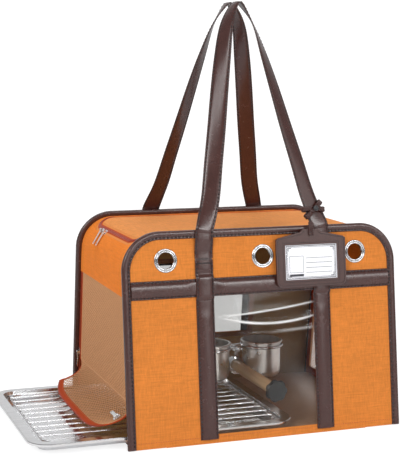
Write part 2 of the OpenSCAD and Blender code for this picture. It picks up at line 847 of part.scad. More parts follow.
// A smooth curve through the points
function curve(p, i, t) =
    let (a = p[max(i - 1, 0)], b = p[i], c = p[i + 1], d = p[min(i + 2, len(p) - 1)])
    0.5 * (2 * b + (c - a) * t + (2 * a - 5 * b + 4 * c - d) * t * t
        + (3 * b - a - 3 * c + d) * t * t * t);
curve_steps = 3;
handle_line = concat([for (i = [0:len(handle_points) - 2], k = [0:curve_steps - 1])
    curve(handle_points, i, k / curve_steps)], [handle_points[len(handle_points) - 1]]);

function unit(v) = v / norm(v);
function line_direction(p, i) = unit(p[min(i + 1, len(p) - 1)] - p[max(i - 1, 0)]);

// The strap turns from flat on the panel to flat on the hand at the top
function handle_turn(p) =
    let (up = min(1, max(0, p[2] - bag_height) / (handle_top - bag_height)))
    -(12 * min(1, up * 12) + 38 * up + 40 * pow(up, 6));

// The four corners and the middles of the strap's edges at a point of its line
function strap_ring(p, direction, turn, width, thickness) =
    let (out = unit(cross(direction, [0, 1, 0])),
         flat = unit(cross(direction, out)),
         across = out * cos(turn) + flat * sin(turn),
         face = cross(direction, across),
         w = width / 2, t = thickness / 2, e = 0.6)
    [for (c = [[w, -t + e], [w, t - e], [w - e, t], [-w + e, t],
        [-w, t - e], [-w, -t + e], [-w + e, -t], [w - e, -t]])
        p + across * c[0] + face * c[1]];

module swept(rings) {
    n = len(rings[0]);
    m = len(rings);
    polyhedron([for (r = rings) each r], concat(
        [[for (i = [0:n - 1]) i]],
        [for (k = [0:m - 2], i = [0:n - 1]) let (a = k * n + i, b = k * n + (i + 1) % n) each
            [[a, a + n, b], [b, a + n, b + n]]],
        [[for (i = [n - 1:-1:0]) (m - 1) * n + i]]));
}

module handle() {
    count = len(handle_line);
    color(LEATHER) swept([for (i = [0:count - 1]) let (p = handle_line[i])
        strap_ring(p, line_direction(handle_line, i), handle_turn(p), strap_width, strap_thickness)]);
}

module front_handle() { handle(); }
module back_handle() { mirror([0, 1, 0]) handle(); }

// ---- Tag ----

tag_out = 5.6;
tag_body_top = slant - tag_drop;
tag_stud_up = tag_body_top + 8;
tail_out = tag_out + 2 * tag_leather + 0.6 + slide_gap;
tail_thickness = 1.6;
tail_top = slant + 4.6;
tag_corner = 9;
stud_radius = 2;

module on_tag() {
    on_front() translate([tag_offset, 0, tag_out]) children();
}

module tag_outline() {
    w = tag_width / 2;
    low = tag_body_top - tag_height;
    neck = 12;
    translate([-w, low + tag_corner]) square([2 * w, tag_height - tag_corner]);
    translate([-w + tag_corner, low]) square([2 * (w - tag_corner), tag_corner + 1]);
    for (side = [-1, 1]) translate([side * (w - tag_corner), low + tag_corner]) circle(tag_corner);
    polygon([[-w, tag_body_top - 1], [w, tag_body_top - 1], [w - 3, tag_body_top + 2],
        [neck + 4, tag_body_top + 10], [neck, tag_body_top + 14], [-neck, tag_body_top + 14],
        [-neck - 4, tag_body_top + 10], [3 - w, tag_body_top + 2]]);
}

card_middle = tag_body_top - tag_height / 2 + 1;
pocket_gap = 0.3;
pocket_depth = 1.2;

module tag_back() {
    color(TAG_LEATHER) on_tag() linear_extrude(tag_leather) difference() {
        tag_outline();
        translate([0, tag_stud_up]) circle(stud_radius + fit_gap);
    }
}

module tag_front() {
    color(TAG_LEATHER) on_tag() translate([0, 0, tag_leather]) difference() {
        linear_extrude(tag_leather + 0.6) tag_outline();
        translate([0, tag_stud_up, -1]) cylinder(r = stud_radius + fit_gap, h = 6);
        translate([-card_width / 2 - pocket_gap, card_middle - card_height / 2 - pocket_gap, -SMALL])
            cube([card_width + 2 * pocket_gap, card_height + 2 * pocket_gap, pocket_depth + SMALL]);
        translate([-card_width / 2 + 2, card_middle - card_height / 2 + 2, -SMALL])
            cube([card_width - 4, card_height - 4, 6]);
    }
}

module tag_card() {
    color(CARD) on_tag() translate([-card_width / 2, card_middle - card_height / 2, tag_leather])
        cube([card_width, card_height, 0.7]);
}

module tag_film() {
    color(FILM) on_tag() translate([-card_width / 2, card_middle - card_height / 2, tag_leather + 0.7])
        cube([card_width, card_height, 0.4]);
}

// The tail hangs from the loop and carries the tag on a stud
module tag_tail() {
    half = 4.5;
    color(LEATHER) on_front() translate([tag_offset, 0, 0]) {
        translate([0, 0, tail_out]) linear_extrude(tail_thickness) {
            translate([-half, tag_stud_up - 4]) square([2 * half, tail_top - tag_stud_up + 4]);
        }
        translate([-half, tail_top, tail_out + tail_thickness / 2]) rotate([0, 90, 0])
            cylinder(d = tail_thickness, h = 2 * half);
    }
    color(STEEL) on_front() translate([tag_offset, tag_stud_up, 0]) {
        translate([0, 0, tag_out - slide_gap - 0.2]) cylinder(r = stud_radius, h = tail_out - tag_out + 1);
    }
}

// Two crossed bands of thong drawn round the leg of the handle
loop_up = 18;
loop_thong = 5;
loop_wall = 2.6;

module at_loop() {
    up = slant + loop_up;
    at = (up - slant) / (handle_top - bag_height);
    base = handle_foot[4];
    out = -base[1] - handle_apart;
    high = handle_top - base[2];
    narrowing = (1 - handle_shares[0][0]) / handle_shares[0][1] * (strap_offset - 3);
    x = strap_offset - 3 - narrowing * at;
    translate([x, mix(base[1], -handle_apart, at), mix(base[2], handle_top, at)])
        rotate([-atan(out / high), -atan(narrowing / high), 12]) children();
}

module loop_band(tilt, out) {
    half_x = strap_width / 2 + out;
    half_y = strap_thickness / 2 + out + 2;
    rotate([0, tilt, 0]) linear_extrude(loop_thong, center = true) difference() {
        rounded(half_x + loop_wall, half_y + loop_wall, 4);
        rounded(half_x, half_y, 2);
    }
}

module tag_loop() {
    color(LEATHER) at_loop() {
        loop_band(22, 2.6);
        loop_band(-22, 2.6);
    }
}

module tag_snap() {
    color(BLACK) at_loop() translate([0, -(strap_thickness / 2 + 4.6 + loop_wall + seam_gap), 0])
        rotate([90, 0, 0]) {
            cylinder(d = 8, h = 1.2);
            translate([0, 0, 1.2]) cylinder(d1 = 7, d2 = 4, h = 1.2);
        }
}

// ---- Output ----

module front_panel() { color(CANVAS) on_front() panel(front_window_bottom); }
module back_panel() { color(CANVAS) on_back() panel(back_window_bottom); }
module front_lining() { color(LINING) on_front() lining(front_window_bottom); }
module back_lining() { color(LINING) on_back() lining(back_window_bottom); }
module front_window() { color(FILM) on_front() window_film(front_window_bottom); }
module back_window() { color(FILM) on_back() window_film(back_window_bottom); }
module front_binding() { color(LEATHER) on_front() binding(); }
module back_binding() { color(LEATHER) on_back() binding(); }
module front_band() { color(LEATHER) on_front() band(); }
module back_band() { color(LEATHER) on_back() band(); }
module front_strap_left() { color(LEATHER) on_front() translate([-strap_offset, 0, 0]) sewn_strap(); }
module front_strap_right() { color(LEATHER) on_front() translate([strap_offset, 0, 0]) sewn_strap(); }
module back_strap_left() { color(LEATHER) on_back() translate([-strap_offset, 0, 0]) sewn_strap(); }
module back_strap_right() { color(LEATHER) on_back() translate([strap_offset, 0, 0]) sewn_strap(); }
module front_eyelets() { color(STEEL) on_front() eyelets(); }
module back_eyelets() { color(STEEL) on_back() eyelets(); }

front_panel();
back_panel();
front_lining();
back_lining();
front_window();
back_window();
front_binding();
back_binding();
front_band();
back_band();
front_strap_left();
front_strap_right();
back_strap_left();
back_strap_right();
front_eyelets();
back_eyelets();
gusset();
lid_frame_tape();
base_skin();
base_board();
left_mesh();
left_zip_tape();
right_zip_tape();
lid_panel();
lid_tape();
lid_slider_rear();
lid_pull_rear();
lid_slider_front();
lid_pull_front();
left_flap_mesh();
left_flap_tape();
flap_slider();
flap_pull();
left_slider();
left_pull();
right_door_mesh();
right_door_tape();
right_slider();
right_pull();
tray();
rack_frame();
rack_bars();
perch_socket();
perch_dowel();
perch_knob();
cup_holder();
wing_nut();
cup_left();
cup_right();
front_handle();
back_handle();
tag_loop();
tag_snap();
tag_tail();
tag_back();
tag_front();
tag_card();
tag_film();
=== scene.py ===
import bpy
import bmesh
import math
from math import sin, cos, pi, atan, hypot
from mathutils import Vector, Matrix, noise


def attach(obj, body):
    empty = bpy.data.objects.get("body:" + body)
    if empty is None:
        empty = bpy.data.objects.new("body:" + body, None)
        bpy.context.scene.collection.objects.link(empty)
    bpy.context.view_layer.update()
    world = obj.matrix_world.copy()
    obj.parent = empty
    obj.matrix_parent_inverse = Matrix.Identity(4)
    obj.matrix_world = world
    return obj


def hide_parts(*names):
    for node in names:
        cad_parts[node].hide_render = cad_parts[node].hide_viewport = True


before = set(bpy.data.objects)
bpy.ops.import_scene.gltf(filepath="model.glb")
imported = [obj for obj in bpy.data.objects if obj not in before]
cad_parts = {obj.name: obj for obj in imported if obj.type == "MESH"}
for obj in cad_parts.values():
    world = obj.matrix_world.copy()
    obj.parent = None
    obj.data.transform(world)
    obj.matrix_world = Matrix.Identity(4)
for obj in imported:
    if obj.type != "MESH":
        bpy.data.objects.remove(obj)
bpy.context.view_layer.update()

MM = 0.001

# ---------------------------------------------------------------- sizes, in mm, as in the part's source
BAG_HEIGHT = 300
HALF_WIDTH = 210
HALF_DEPTH = 161          # half the depth over the two panels, at the floor
TOP_HALF_DEPTH = 123      # and at their top edge
CORNER = 56               # radius of a panel's top corners
GUSSET_INSET = 8          # how far the gusset lies inside the edge of the binding
PANEL_THICKNESS = 3
MESH_TOP = 206            # height of the side mesh's top edge, and of the belt's lower edge
WINDOW_HALF = 88
EYELET_UP = 261           # up the slope of the panel
EYELETS_AT = (-146, 0, 146)
BELT_HEIGHT = 26
STRAP_WIDTH = 27
STRAP_THICKNESS = 2.4
STRAP_AT = 90             # distance of each strap from the middle of the bag
HANDLE_LEG = 87           # the same where the handle leaves the panel's top edge
HANDLE_TOP = 621
HANDLE_APART = 18         # distance of each handle's top from the middle plane
HANDLE_SHARES = ((0.86, 0.12), (0.745, 0.27), (0.62, 0.43), (0.495, 0.6), (0.385, 0.74), (0.26, 0.88),
                 (0.12, 0.965))
LID_HALF_LENGTH = 183
LID_HALF_WIDTH = 108
LID_CORNER = 30
SIDE_FACE = 201.7         # outer face of the zip tapes in the bag's ends
FLAP_TOP = 61.6           # height of the crease where the flap leaves the side
TAG_AT = 72               # distance of the tag from the middle of the bag
TAG_FACE = 9.8            # height of the tag's face above the panel
STITCH_INSET = 2.3        # distance of a seam from the edge of a strap

LEAN = atan((HALF_DEPTH - TOP_HALF_DEPTH) / BAG_HEIGHT)
S, C = sin(LEAN), cos(LEAN)
SLANT = BAG_HEIGHT / C
BAND = MESH_TOP / C
GUSSET_RADIUS = CORNER - GUSSET_INSET
GUSSET_BEND = BAG_HEIGHT - CORNER
RUST = (0.47, 0.062, 0.014)


def on_panel(x, up, out, side=-1):
    """A point of the front (-1) or back (1) panel: along, up the slope, and out of its face."""
    return Vector((x, side * (HALF_DEPTH - up * S + out * C), up * C + out * S)) * MM


def panel_normal(side=-1):
    return Vector((0, side * C, S))


def half_depth(z, inset=0):
    """Half the distance between the two panels at a height, less an inset square to each."""
    return HALF_DEPTH - z * S / C - inset / C


def steps(first, last, count):
    """Evenly spaced values from first to last, both kept."""
    return [first + (last - first) * i / count for i in range(count + 1)]


def around(count):
    """The angles of count points round a full turn."""
    return [2 * pi * i / count for i in range(count)]


# ---------------------------------------------------------------- camera, solved against the photograph
YAW, PITCH, ROLL = 0.34994, 0.1364, 0.007445
CAMERA_AT = (-0.68266, -1.77808, 0.54135)
FOCAL_PIXELS = 1261.56
PHOTO_PIXELS_HIGH = 459
SENSOR = 36
LEVEL_RIGHT = Vector((cos(YAW), -sin(YAW), 0))


def add_camera():
    data = bpy.data.cameras.new("camera")
    data.sensor_fit = "VERTICAL"
    data.sensor_height = SENSOR
    data.lens = FOCAL_PIXELS * SENSOR / PHOTO_PIXELS_HIGH
    data.clip_start = 0.05
    data.clip_end = 30
    forward = Vector((sin(YAW) * cos(PITCH), cos(YAW) * cos(PITCH), -sin(PITCH)))
    level_up = LEVEL_RIGHT.cross(forward)
    right = LEVEL_RIGHT * cos(ROLL) + level_up * sin(ROLL)
    up = -LEVEL_RIGHT * sin(ROLL) + level_up * cos(ROLL)
    camera = bpy.data.objects.new("camera", data)
    bpy.context.scene.collection.objects.link(camera)
    camera.matrix_world = Matrix.Translation(CAMERA_AT) @ Matrix((right, up, -forward)).transposed().to_4x4()
    bpy.context.scene.camera = camera


add_camera()


# ---------------------------------------------------------------- materials
class Nodes:
    """A short way to write a material whose patterns read Object coordinates, in metres."""

    def __init__(self, name):
        self.mat = bpy.data.materials.new(name)
        self.mat.use_nodes = True
        self.t = self.mat.node_tree
        self.t.nodes.clear()
        self.out = self.t.nodes.new("ShaderNodeOutputMaterial")
        self.b = self.t.nodes.new("ShaderNodeBsdfPrincipled")
        self.t.links.new(self.b.outputs[0], self.out.inputs[0])
        place = self.t.nodes.new("ShaderNodeTexCoord")
        self.obj = place.outputs["Object"]

    def link(self, a, b):
        """Joins an output to the input b, or sets b to a value."""
        if isinstance(a, (int, float)):
            b.default_value = a
        elif isinstance(a, (tuple, list)):
            b.default_value = tuple(a) + ((1,) if len(b.default_value) == 4 and len(a) == 3 else ())
        else:
            self.t.links.new(a, b)

    def math(self, op, a, b=0.0, c=0.0):
        n = self.t.nodes.new("ShaderNodeMath")
        n.operation = op
        for i, v in enumerate((a, b, c)):
            self.link(v, n.inputs[i])
        return n.outputs[0]

    def add(self, *values):
        total = values[0]
        for value in values[1:]:
            total = self.math("ADD", total, value)
        return total

    def times(self, a, b):
        return self.math("MULTIPLY", a, b)

    def minus(self, a, b):
        return self.math("SUBTRACT", a, b)

    def noise(self, scale, detail=3.0, rough=0.6, stretch=None):
        n = self.t.nodes.new("ShaderNodeTexNoise")
        n.inputs["Scale"].default_value = scale
        n.inputs["Detail"].default_value = detail
        n.inputs["Roughness"].default_value = rough
        where = self.obj
        if stretch:
            m = self.t.nodes.new("ShaderNodeMapping")
            m.inputs["Scale"].default_value = stretch
            self.link(where, m.inputs["Vector"])
            where = m.outputs[0]
        self.link(where, n.inputs["Vector"])
        return n.outputs["Fac"]

    def cells(self, scale):
        n = self.t.nodes.new("ShaderNodeTexVoronoi")
        n.inputs["Scale"].default_value = scale
        self.link(self.obj, n.inputs["Vector"])
        return n.outputs["Distance"]

    def ramp(self, fac, a, b, lo=0.0, hi=1.0):
        """Turns the range lo..hi of fac into a..b, and holds it there outside."""
        n = self.t.nodes.new("ShaderNodeMapRange")
        n.inputs["From Min"].default_value = lo
        n.inputs["From Max"].default_value = hi
        n.inputs["To Min"].default_value = a
        n.inputs["To Max"].default_value = b
        self.link(fac, n.inputs["Value"])
        return n.outputs[0]

    def mix(self, fac, a, b):
        n = self.t.nodes.new("ShaderNodeMix")
        n.data_type = "RGBA"
        self.link(fac, n.inputs[0])
        self.link(a, n.inputs[6])
        self.link(b, n.inputs[7])
        return n.outputs[2]

    def axes(self):
        n = self.t.nodes.new("ShaderNodeSeparateXYZ")
        self.link(self.obj, n.inputs[0])
        return n.outputs

    def bump(self, height, strength, distance):
        n = self.t.nodes.new("ShaderNodeBump")
        n.inputs["Strength"].default_value = strength
        n.inputs["Distance"].default_value = distance
        self.link(height, n.inputs["Height"])
        self.link(n.outputs[0], self.b.inputs["Normal"])

    def set(self, **inputs):
        for name, value in inputs.items():
            self.link(value, self.b.inputs[name.replace("_", " ")])
        return self.mat


def scaled(colour, k):
    return tuple(min(1, v * k) for v in colour)


def long_along(axis, share):
    """The stretch of a pattern that runs long and thin along one axis."""
    return tuple(share if letter == axis else 1 for letter in "XYZ")


def cloth(name, colour, plane, pitch=1.25, depth=0.35, rough=0.85):
    """A plain weave whose threads run along two axes of the piece, with thick and thin yarns."""
    n = Nodes(name)
    ax = n.axes()
    k = 2 * pi / (pitch * MM)
    warp, weft = (n.math("SINE", n.times(ax["XYZ".index(axis)], k)) for axis in plane)
    cross = n.times(warp, weft)
    slub = n.add(*(n.noise(1100, 2, 0.5, long_along(axis, 0.04)) for axis in plane))
    blot = n.noise(14, 3)
    coarse = n.add(*(n.noise(430, 1, 0.5, long_along(axis, 0.10)) for axis in plane))
    tone = n.add(n.ramp(cross, -0.16, 0.16, -1, 1), n.ramp(slub, -0.2, 0.2, 0.6, 1.4),
                 n.ramp(blot, -0.07, 0.07, 0.3, 0.7), n.ramp(coarse, -0.16, 0.16, 0.7, 1.3), 0.5)
    n.bump(n.add(n.times(cross, 0.6), n.times(slub, 0.5)), 0.6, depth * MM)
    return n.set(Base_Color=n.mix(tone, scaled(colour, 0.70), scaled(colour, 1.22)), Roughness=rough,
                 Sheen_Weight=0.03, Sheen_Roughness=0.4, Specular_IOR_Level=0.12)


def leather(name, colour, grain=650, rough=0.5, shine=0.66):
    """Pebbled leather: small cells, finer pores, and soft creases that also change its gloss."""
    n = Nodes(name)
    cell = n.cells(grain)
    fine = n.noise(1600, 3)
    crease = n.noise(60, 4, 0.6)
    tone = n.add(n.ramp(cell, 0.66, 0.16, 0.1, 0.8), n.ramp(crease, -0.12, 0.16, 0.3, 0.7))
    n.bump(n.add(n.times(n.ramp(cell, 1, 0, 0, 0.8), 0.5), n.times(fine, 0.2), n.times(crease, 0.3)),
           0.3, 0.25 * MM)
    return n.set(Base_Color=n.mix(tone, scaled(colour, 0.75), scaled(colour, 1.45)),
                 Roughness=n.ramp(crease, rough - 0.03, rough + 0.04, 0.3, 0.7), Specular_IOR_Level=shine)


def metal(name, colour=(0.76, 0.76, 0.77), rough=0.16, brushed=False, dents=0.12):
    n = Nodes(name)
    swell = n.noise(300, 3, stretch=(0.03, 1, 1)) if brushed else n.noise(40, 4)
    dust = n.noise(900, 2)
    n.bump(n.add(swell, n.times(dust, 0.4)), dents, 0.12 * MM)
    return n.set(Base_Color=n.mix(n.ramp(swell, 0, 1, 0.3, 0.7), scaled(colour, 0.86), scaled(colour, 1.08)),
                 Metallic=1.0, Roughness=n.ramp(swell, rough - 0.05, rough + 0.08, 0.3, 0.7))


def ribbed(n, along, pitch):
    """The ribs of a woven tape, its unevenness, and the tone that both give."""
    rib = n.math("SINE", n.times(along, 2 * pi / (pitch * MM)))
    fuzz = n.noise(700, 3)
    return rib, fuzz, n.add(n.ramp(rib, 0.3, 0.7, -1, 1), n.ramp(fuzz, -0.2, 0.2, 0.3, 0.7))


def tape_cloth(name, colour, pitch=0.9):
    """Woven zip tape: fine ribs, and a darker line along each rib of the weave."""
    n = Nodes(name)
    ax = n.axes()
    rib, fuzz, tone = ribbed(n, n.add(ax[0], ax[1], ax[2]), pitch)
    n.bump(n.add(n.times(rib, 0.5), fuzz), 0.5, 0.25 * MM)
    return n.set(Base_Color=n.mix(tone, scaled(colour, 0.6), scaled(colour, 1.25)), Roughness=0.75,
                 Specular_IOR_Level=0.15)


def lid_tape_cloth(near=3.3, pitch=1.6):
    """Zip tape within near mm of the lid's zip line, and the lid's canvas over the rest of it."""
    n = Nodes("zip_tape_lid")
    ax = n.axes()
    past_x = n.minus(n.math("ABSOLUTE", ax[0]), (LID_HALF_LENGTH - LID_CORNER) * MM)
    past_y = n.minus(n.math("ABSOLUTE", ax[1]), (LID_HALF_WIDTH - LID_CORNER) * MM)
    out_x, out_y = n.math("MAXIMUM", past_x, 0.0), n.math("MAXIMUM", past_y, 0.0)
    outside = n.math("SQRT", n.add(n.times(out_x, out_x), n.times(out_y, out_y)))
    inside = n.math("MINIMUM", n.math("MAXIMUM", past_x, past_y), 0.0)
    away = n.math("ABSOLUTE", n.minus(n.add(outside, inside), LID_CORNER * MM))
    rust = n.ramp(away, 1, 0, near * MM, (near + 0.5) * MM)
    rib, fuzz, tone = ribbed(n, away, pitch)
    n.bump(n.add(n.times(rib, 0.8), fuzz), 0.6, 0.4 * MM)
    tape_tone = n.mix(tone, scaled(RUST, 0.75), scaled(RUST, 1.5))
    canvas_tone = n.mix(tone, (0.68, 0.23, 0.055), (0.86, 0.31, 0.08))
    return n.set(Base_Color=n.mix(rust, canvas_tone, tape_tone), Roughness=0.75, Specular_IOR_Level=0.15)


def plain(name, colour, rough, noise_scale=400, depth=0.1, vary=0.12):
    """A smooth finish of one colour, a little uneven in tone, gloss and surface."""
    n = Nodes(name)
    uneven = n.noise(noise_scale, 4)
    n.bump(uneven, 0.35, depth * MM)
    tones = scaled(colour, 1 - vary), scaled(colour, 1 + vary)
    return n.set(Base_Color=n.mix(n.ramp(uneven, 0, 1, 0.3, 0.7), *tones),
                 Roughness=n.ramp(uneven, rough - 0.05, rough + 0.08, 0.3, 0.7))


def haze_and_painted_highlights(n, highlight_streaks, haze):
    """How white the film is: a faint cloud of haze, and a soft line of painted highlight along each streak.
    """
    ax = n.axes()
    x = n.times(ax[0], 1 / MM)
    up = n.times(ax[2], 1 / MM / C)
    cloud = n.noise(26, 2, 0.5)
    haze_and_highlight = n.ramp(cloud, 0.5 * haze, 1.6 * haze, 0.35, 0.7)
    uneven = n.ramp(cloud, 0.75, 1.15, 0.35, 0.65)
    # each streak adds a soft line of painted highlight: diffuse white standing in for the crease's reflection
    for height, slope, bend, middle, half, strength, x0, x1 in highlight_streaks:
        off = n.minus(x, middle)
        curve = n.add(n.times(off, slope), n.times(n.times(off, off), bend))
        d = n.math("DIVIDE", n.minus(n.minus(up, height), curve), half)
        line = n.math("EXPONENT", n.times(n.times(d, d), -1.0))
        ends = n.times(n.ramp(x, 0, 1, x0, x0 + 45), n.ramp(x, 1, 0.5, x1 - 20, x1))
        haze_and_highlight = n.math("MINIMUM", n.add(haze_and_highlight, n.times(n.times(line, n.times(ends, uneven)), strength)), 0.95)
    return haze_and_highlight


def film(name, tint, haze=0.0, share=1.0, highlight_streaks=()):
    """Clear vinyl: see-through, with a mirror share that grows at a slant and soft white lines of painted
    highlight where its creases catch the light. A streak is (height, slope, bend, middle, half width,
    strength, from x, to x), in mm."""
    n = Nodes(name)
    t = n.t
    slant = t.nodes.new("ShaderNodeLayerWeight")
    slant.inputs["Blend"].default_value = 0.5
    mirror = n.add(n.times(n.math("POWER", slant.outputs["Facing"], 5.0), 0.8 * share), 0.035 * share)
    bump = t.nodes.new("ShaderNodeBump")
    bump.inputs["Strength"].default_value = 0.12
    bump.inputs["Distance"].default_value = 1.0 * MM
    n.link(n.noise(9, 1, 0.4, stretch=(1, 1, 2.5)), bump.inputs["Height"])
    clear = t.nodes.new("ShaderNodeBsdfTransparent")
    clear.inputs[0].default_value = tint + (1,)
    gloss = t.nodes.new("ShaderNodeBsdfGlossy")
    gloss.inputs["Roughness"].default_value = 0.08
    n.link(bump.outputs[0], gloss.inputs["Normal"])
    # diffuse white for the film's haze and for its painted highlight streaks
    white_for_haze_and_highlight = t.nodes.new("ShaderNodeBsdfDiffuse")
    white_for_haze_and_highlight.inputs[0].default_value = (0.97, 0.96, 0.95, 1)
    haze_and_highlight_mix, glazed = t.nodes.new("ShaderNodeMixShader"), t.nodes.new("ShaderNodeMixShader")
    n.link(haze_and_painted_highlights(n, highlight_streaks, haze) if highlight_streaks else haze, haze_and_highlight_mix.inputs[0])
    n.link(clear.outputs[0], haze_and_highlight_mix.inputs[1])
    n.link(white_for_haze_and_highlight.outputs[0], haze_and_highlight_mix.inputs[2])
    n.link(mirror, glazed.inputs[0])
    n.link(haze_and_highlight_mix.outputs[0], glazed.inputs[1])
    n.link(gloss.outputs[0], glazed.inputs[2])
    t.links.new(glazed.outputs[0], n.out.inputs[0])
    return n.mat


def wood(name):
    """Turned wood with its grain along the dowel."""
    n = Nodes(name)
    ring = n.noise(90, 5, 0.65, stretch=(1, 0.06, 1))
    fine = n.noise(700, 3, stretch=(1, 0.03, 1))
    tone = n.add(n.ramp(ring, 0, 0.8, 0.3, 0.7), n.ramp(fine, 0, 0.3, 0.3, 0.7))
    n.bump(fine, 0.3, 0.2 * MM)
    return n.set(Base_Color=n.mix(tone, (0.36, 0.21, 0.10), (0.62, 0.42, 0.24)), Roughness=0.45)


ORANGE = (0.69, 0.222, 0.042)
M_FRONT = cloth("canvas_front", ORANGE, "XZ")
M_SIDE = cloth("canvas_side", (0.95, 0.232, 0.026), "YZ")
M_LID = cloth("canvas_lid", (0.84, 0.31, 0.085), "XY")
M_LINING = cloth("lining", (0.32, 0.180, 0.062), "XZ", pitch=0.9)
M_FLOOR = cloth("board_cloth", (0.46, 0.280, 0.170), "XY", pitch=0.9)
M_LEATHER = leather("leather_brown", (0.050, 0.0150, 0.0115), rough=0.25)
M_TAG = leather("leather_tag", (0.058, 0.022, 0.018), grain=560, rough=0.40, shine=0.5)
M_TAPE = tape_cloth("zip_tape_rust", RUST)
M_LID_TAPE = lid_tape_cloth()
M_COIL = plain("zip_coil", (0.34, 0.040, 0.014), 0.35, 900)
M_NET = plain("net_thread", (0.62, 0.31, 0.145), 0.7, 1200, vary=0.2)
# Stitch thread near-black: the thread's own dark brown, darkened further as painted shade of the sunken
# stitch line
M_STITCH_WITH_PAINTED_SHADE = plain("thread_dark_painted_shade", (0.012, 0.006, 0.006), 0.5, 2000, vary=0.25)
M_THREAD = plain("thread_rust", (0.50, 0.13, 0.03), 0.7, 2000, vary=0.25)
M_STEEL = metal("steel_bright")
M_BRUSHED = metal("steel_tray", (0.84, 0.84, 0.85), rough=0.15, brushed=True, dents=0.06)
M_CUP = metal("steel_cup", (0.92, 0.90, 0.88), 0.30, dents=0.05)
M_CHROME = metal("eyelet_chrome", (0.55, 0.55, 0.56), 0.12, dents=0.02)
M_ZIP = metal("zip_metal", (0.88, 0.87, 0.86), 0.2, dents=0.05)
M_BLACK = plain("plastic_black", (0.018, 0.018, 0.02), 0.38, 500)
M_WOOD = wood("wood_dowel")
# Streaks of painted highlight on the front film: white lines mixed in where the vinyl's creases catch the
# light
PAINTED_HIGHLIGHT_STREAKS = ((181, 0.085, 0.0005, 0, 1.3, 0.50, -70, 78),
           (163.2, 0.0, 0.0019, 15, 1.5, 0.72, -72, 80),
           (149.5, 0.055, 0.0, 0, 2.0, 0.20, 0, 80),
           (70, -0.9, -0.006, 60, 22, 0.04, 10, 90))
M_FILM = film("vinyl_clear", (0.962, 0.960, 0.950), 0.005, 0.26, PAINTED_HIGHLIGHT_STREAKS)
M_FILM_BACK = film("vinyl_back", (0.70, 0.70, 0.70), 0.01, 0.3)
M_CARD_FILM = film("film_card", (1.0, 1.0, 1.0), 0.0, 0.6)
M_CARD = plain("card_white", (0.93, 0.93, 0.98), 0.5, 300, vary=0.02)
M_INK = plain("ink_dark", (0.03, 0.03, 0.04), 0.6, 300, vary=0.05)


# ---------------------------------------------------------------- making pieces
def finish_mesh(name, me, mat, angle=40):
    """An object for a mesh, smooth but for edges sharper than angle."""
    me.materials.clear()
    me.materials.append(mat)
    for p in me.polygons:
        p.use_smooth = True
    me.set_sharp_from_angle(angle=math.radians(angle))
    ob = bpy.data.objects.new(name, me)
    bpy.context.scene.collection.objects.link(ob)
    return ob


def from_lists(name, verts, faces, mat, angle=40):
    bm = bmesh.new()
    vs = [bm.verts.new(v) for v in verts]
    made = set()
    for f in faces:
        corners = frozenset(f)
        if corners not in made:
            made.add(corners)
            bm.faces.new([vs[i] for i in f])
    bmesh.ops.remove_doubles(bm, verts=bm.verts, dist=1e-7)
    bmesh.ops.recalc_face_normals(bm, faces=bm.faces)
    me = bpy.data.meshes.new(name)
    bm.to_mesh(me)
    bm.free()
    return finish_mesh(name, me, mat, angle)


def place(ob, body, slot=None, *nodes):
    """Puts a piece on its body and hides the CAD nodes that it stands for; slot is not used."""
    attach(ob, body)
    if nodes:
        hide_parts(*nodes)
    return ob


def bake(ob):
    """Applies the modifiers of a piece by swapping in its evaluated mesh."""
    dg = bpy.context.evaluated_depsgraph_get()
    me = bpy.data.meshes.new_from_object(ob.evaluated_get(dg))
    ob.modifiers.clear()
    old = ob.data
    ob.data = me
    bpy.data.meshes.remove(old)
    return ob


def round_edges(ob, width, segments=2):
    m = ob.modifiers.new("round", "BEVEL")
    m.width = width * MM
    m.segments = segments
    m.limit_method = "ANGLE"
    m.angle_limit = math.radians(35)
    m.harden_normals = True


def soft_copy(node, name, mat, cuts=(), shape=None, bevel=0.0, angle=40, segments=2):
    """A new piece from a CAD solid, cut into a fine grid so that it can be bent, then bent.
    A cut is (normal, from, to, step), and shape gives the new place of a point."""
    bm = bmesh.new()
    bm.from_mesh(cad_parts[node].data)
    bmesh.ops.remove_doubles(bm, verts=bm.verts, dist=1e-6)
    bmesh.ops.dissolve_limit(bm, angle_limit=0.02, verts=bm.verts, edges=bm.edges)
    for normal, lo, hi, step in cuts:
        across = Vector(normal)
        for d in range(lo, hi, step):
            geom = bm.verts[:] + bm.edges[:] + bm.faces[:]
            bmesh.ops.bisect_plane(bm, geom=geom, plane_co=across * d * MM, plane_no=across, dist=1e-7)
    if shape:
        for v in bm.verts:
            v.co = shape(v.co)
    bmesh.ops.recalc_face_normals(bm, faces=bm.faces)
    me = bpy.data.meshes.new(name)
    bm.to_mesh(me)
    bm.free()
    ob = finish_mesh(name, me, mat, angle)
    if bevel:
        round_edges(ob, bevel, segments)
        bake(ob)
    return ob


def sweep(name, rings, mat, closed=False, angle=40):
    """A skin over rings of points, capped at both ends unless it is closed on itself."""
    n = len(rings[0])
    m = len(rings)
    verts = [v for r in rings for v in r]
    faces = []
    for k in range(m if closed else m - 1):
        after = (k + 1) % m
        for i in range(n):
            j = (i + 1) % n
            faces.append((k * n + i, k * n + j, after * n + j, after * n + i))
    if not closed:
        faces.append(tuple(range(n)))
        faces.append(tuple((m - 1) * n + i for i in reversed(range(n))))
    return from_lists(name, verts, faces, mat, angle)


def stitch_shape(length=3.2, radius=1.15, sides=6):
    """One stitch: a short rounded thread that dips at both ends."""
    rings = []
    for t in steps(-1, 1, 6):
        r = radius * max(0.25, (1 - t ** 4)) ** 0.5
        height = 0.20 * (1 - t * t) - 0.30
        rings.append([Vector((t * length / 2, r * cos(a), height + r * sin(a))) * MM for a in around(sides)])
    return rings


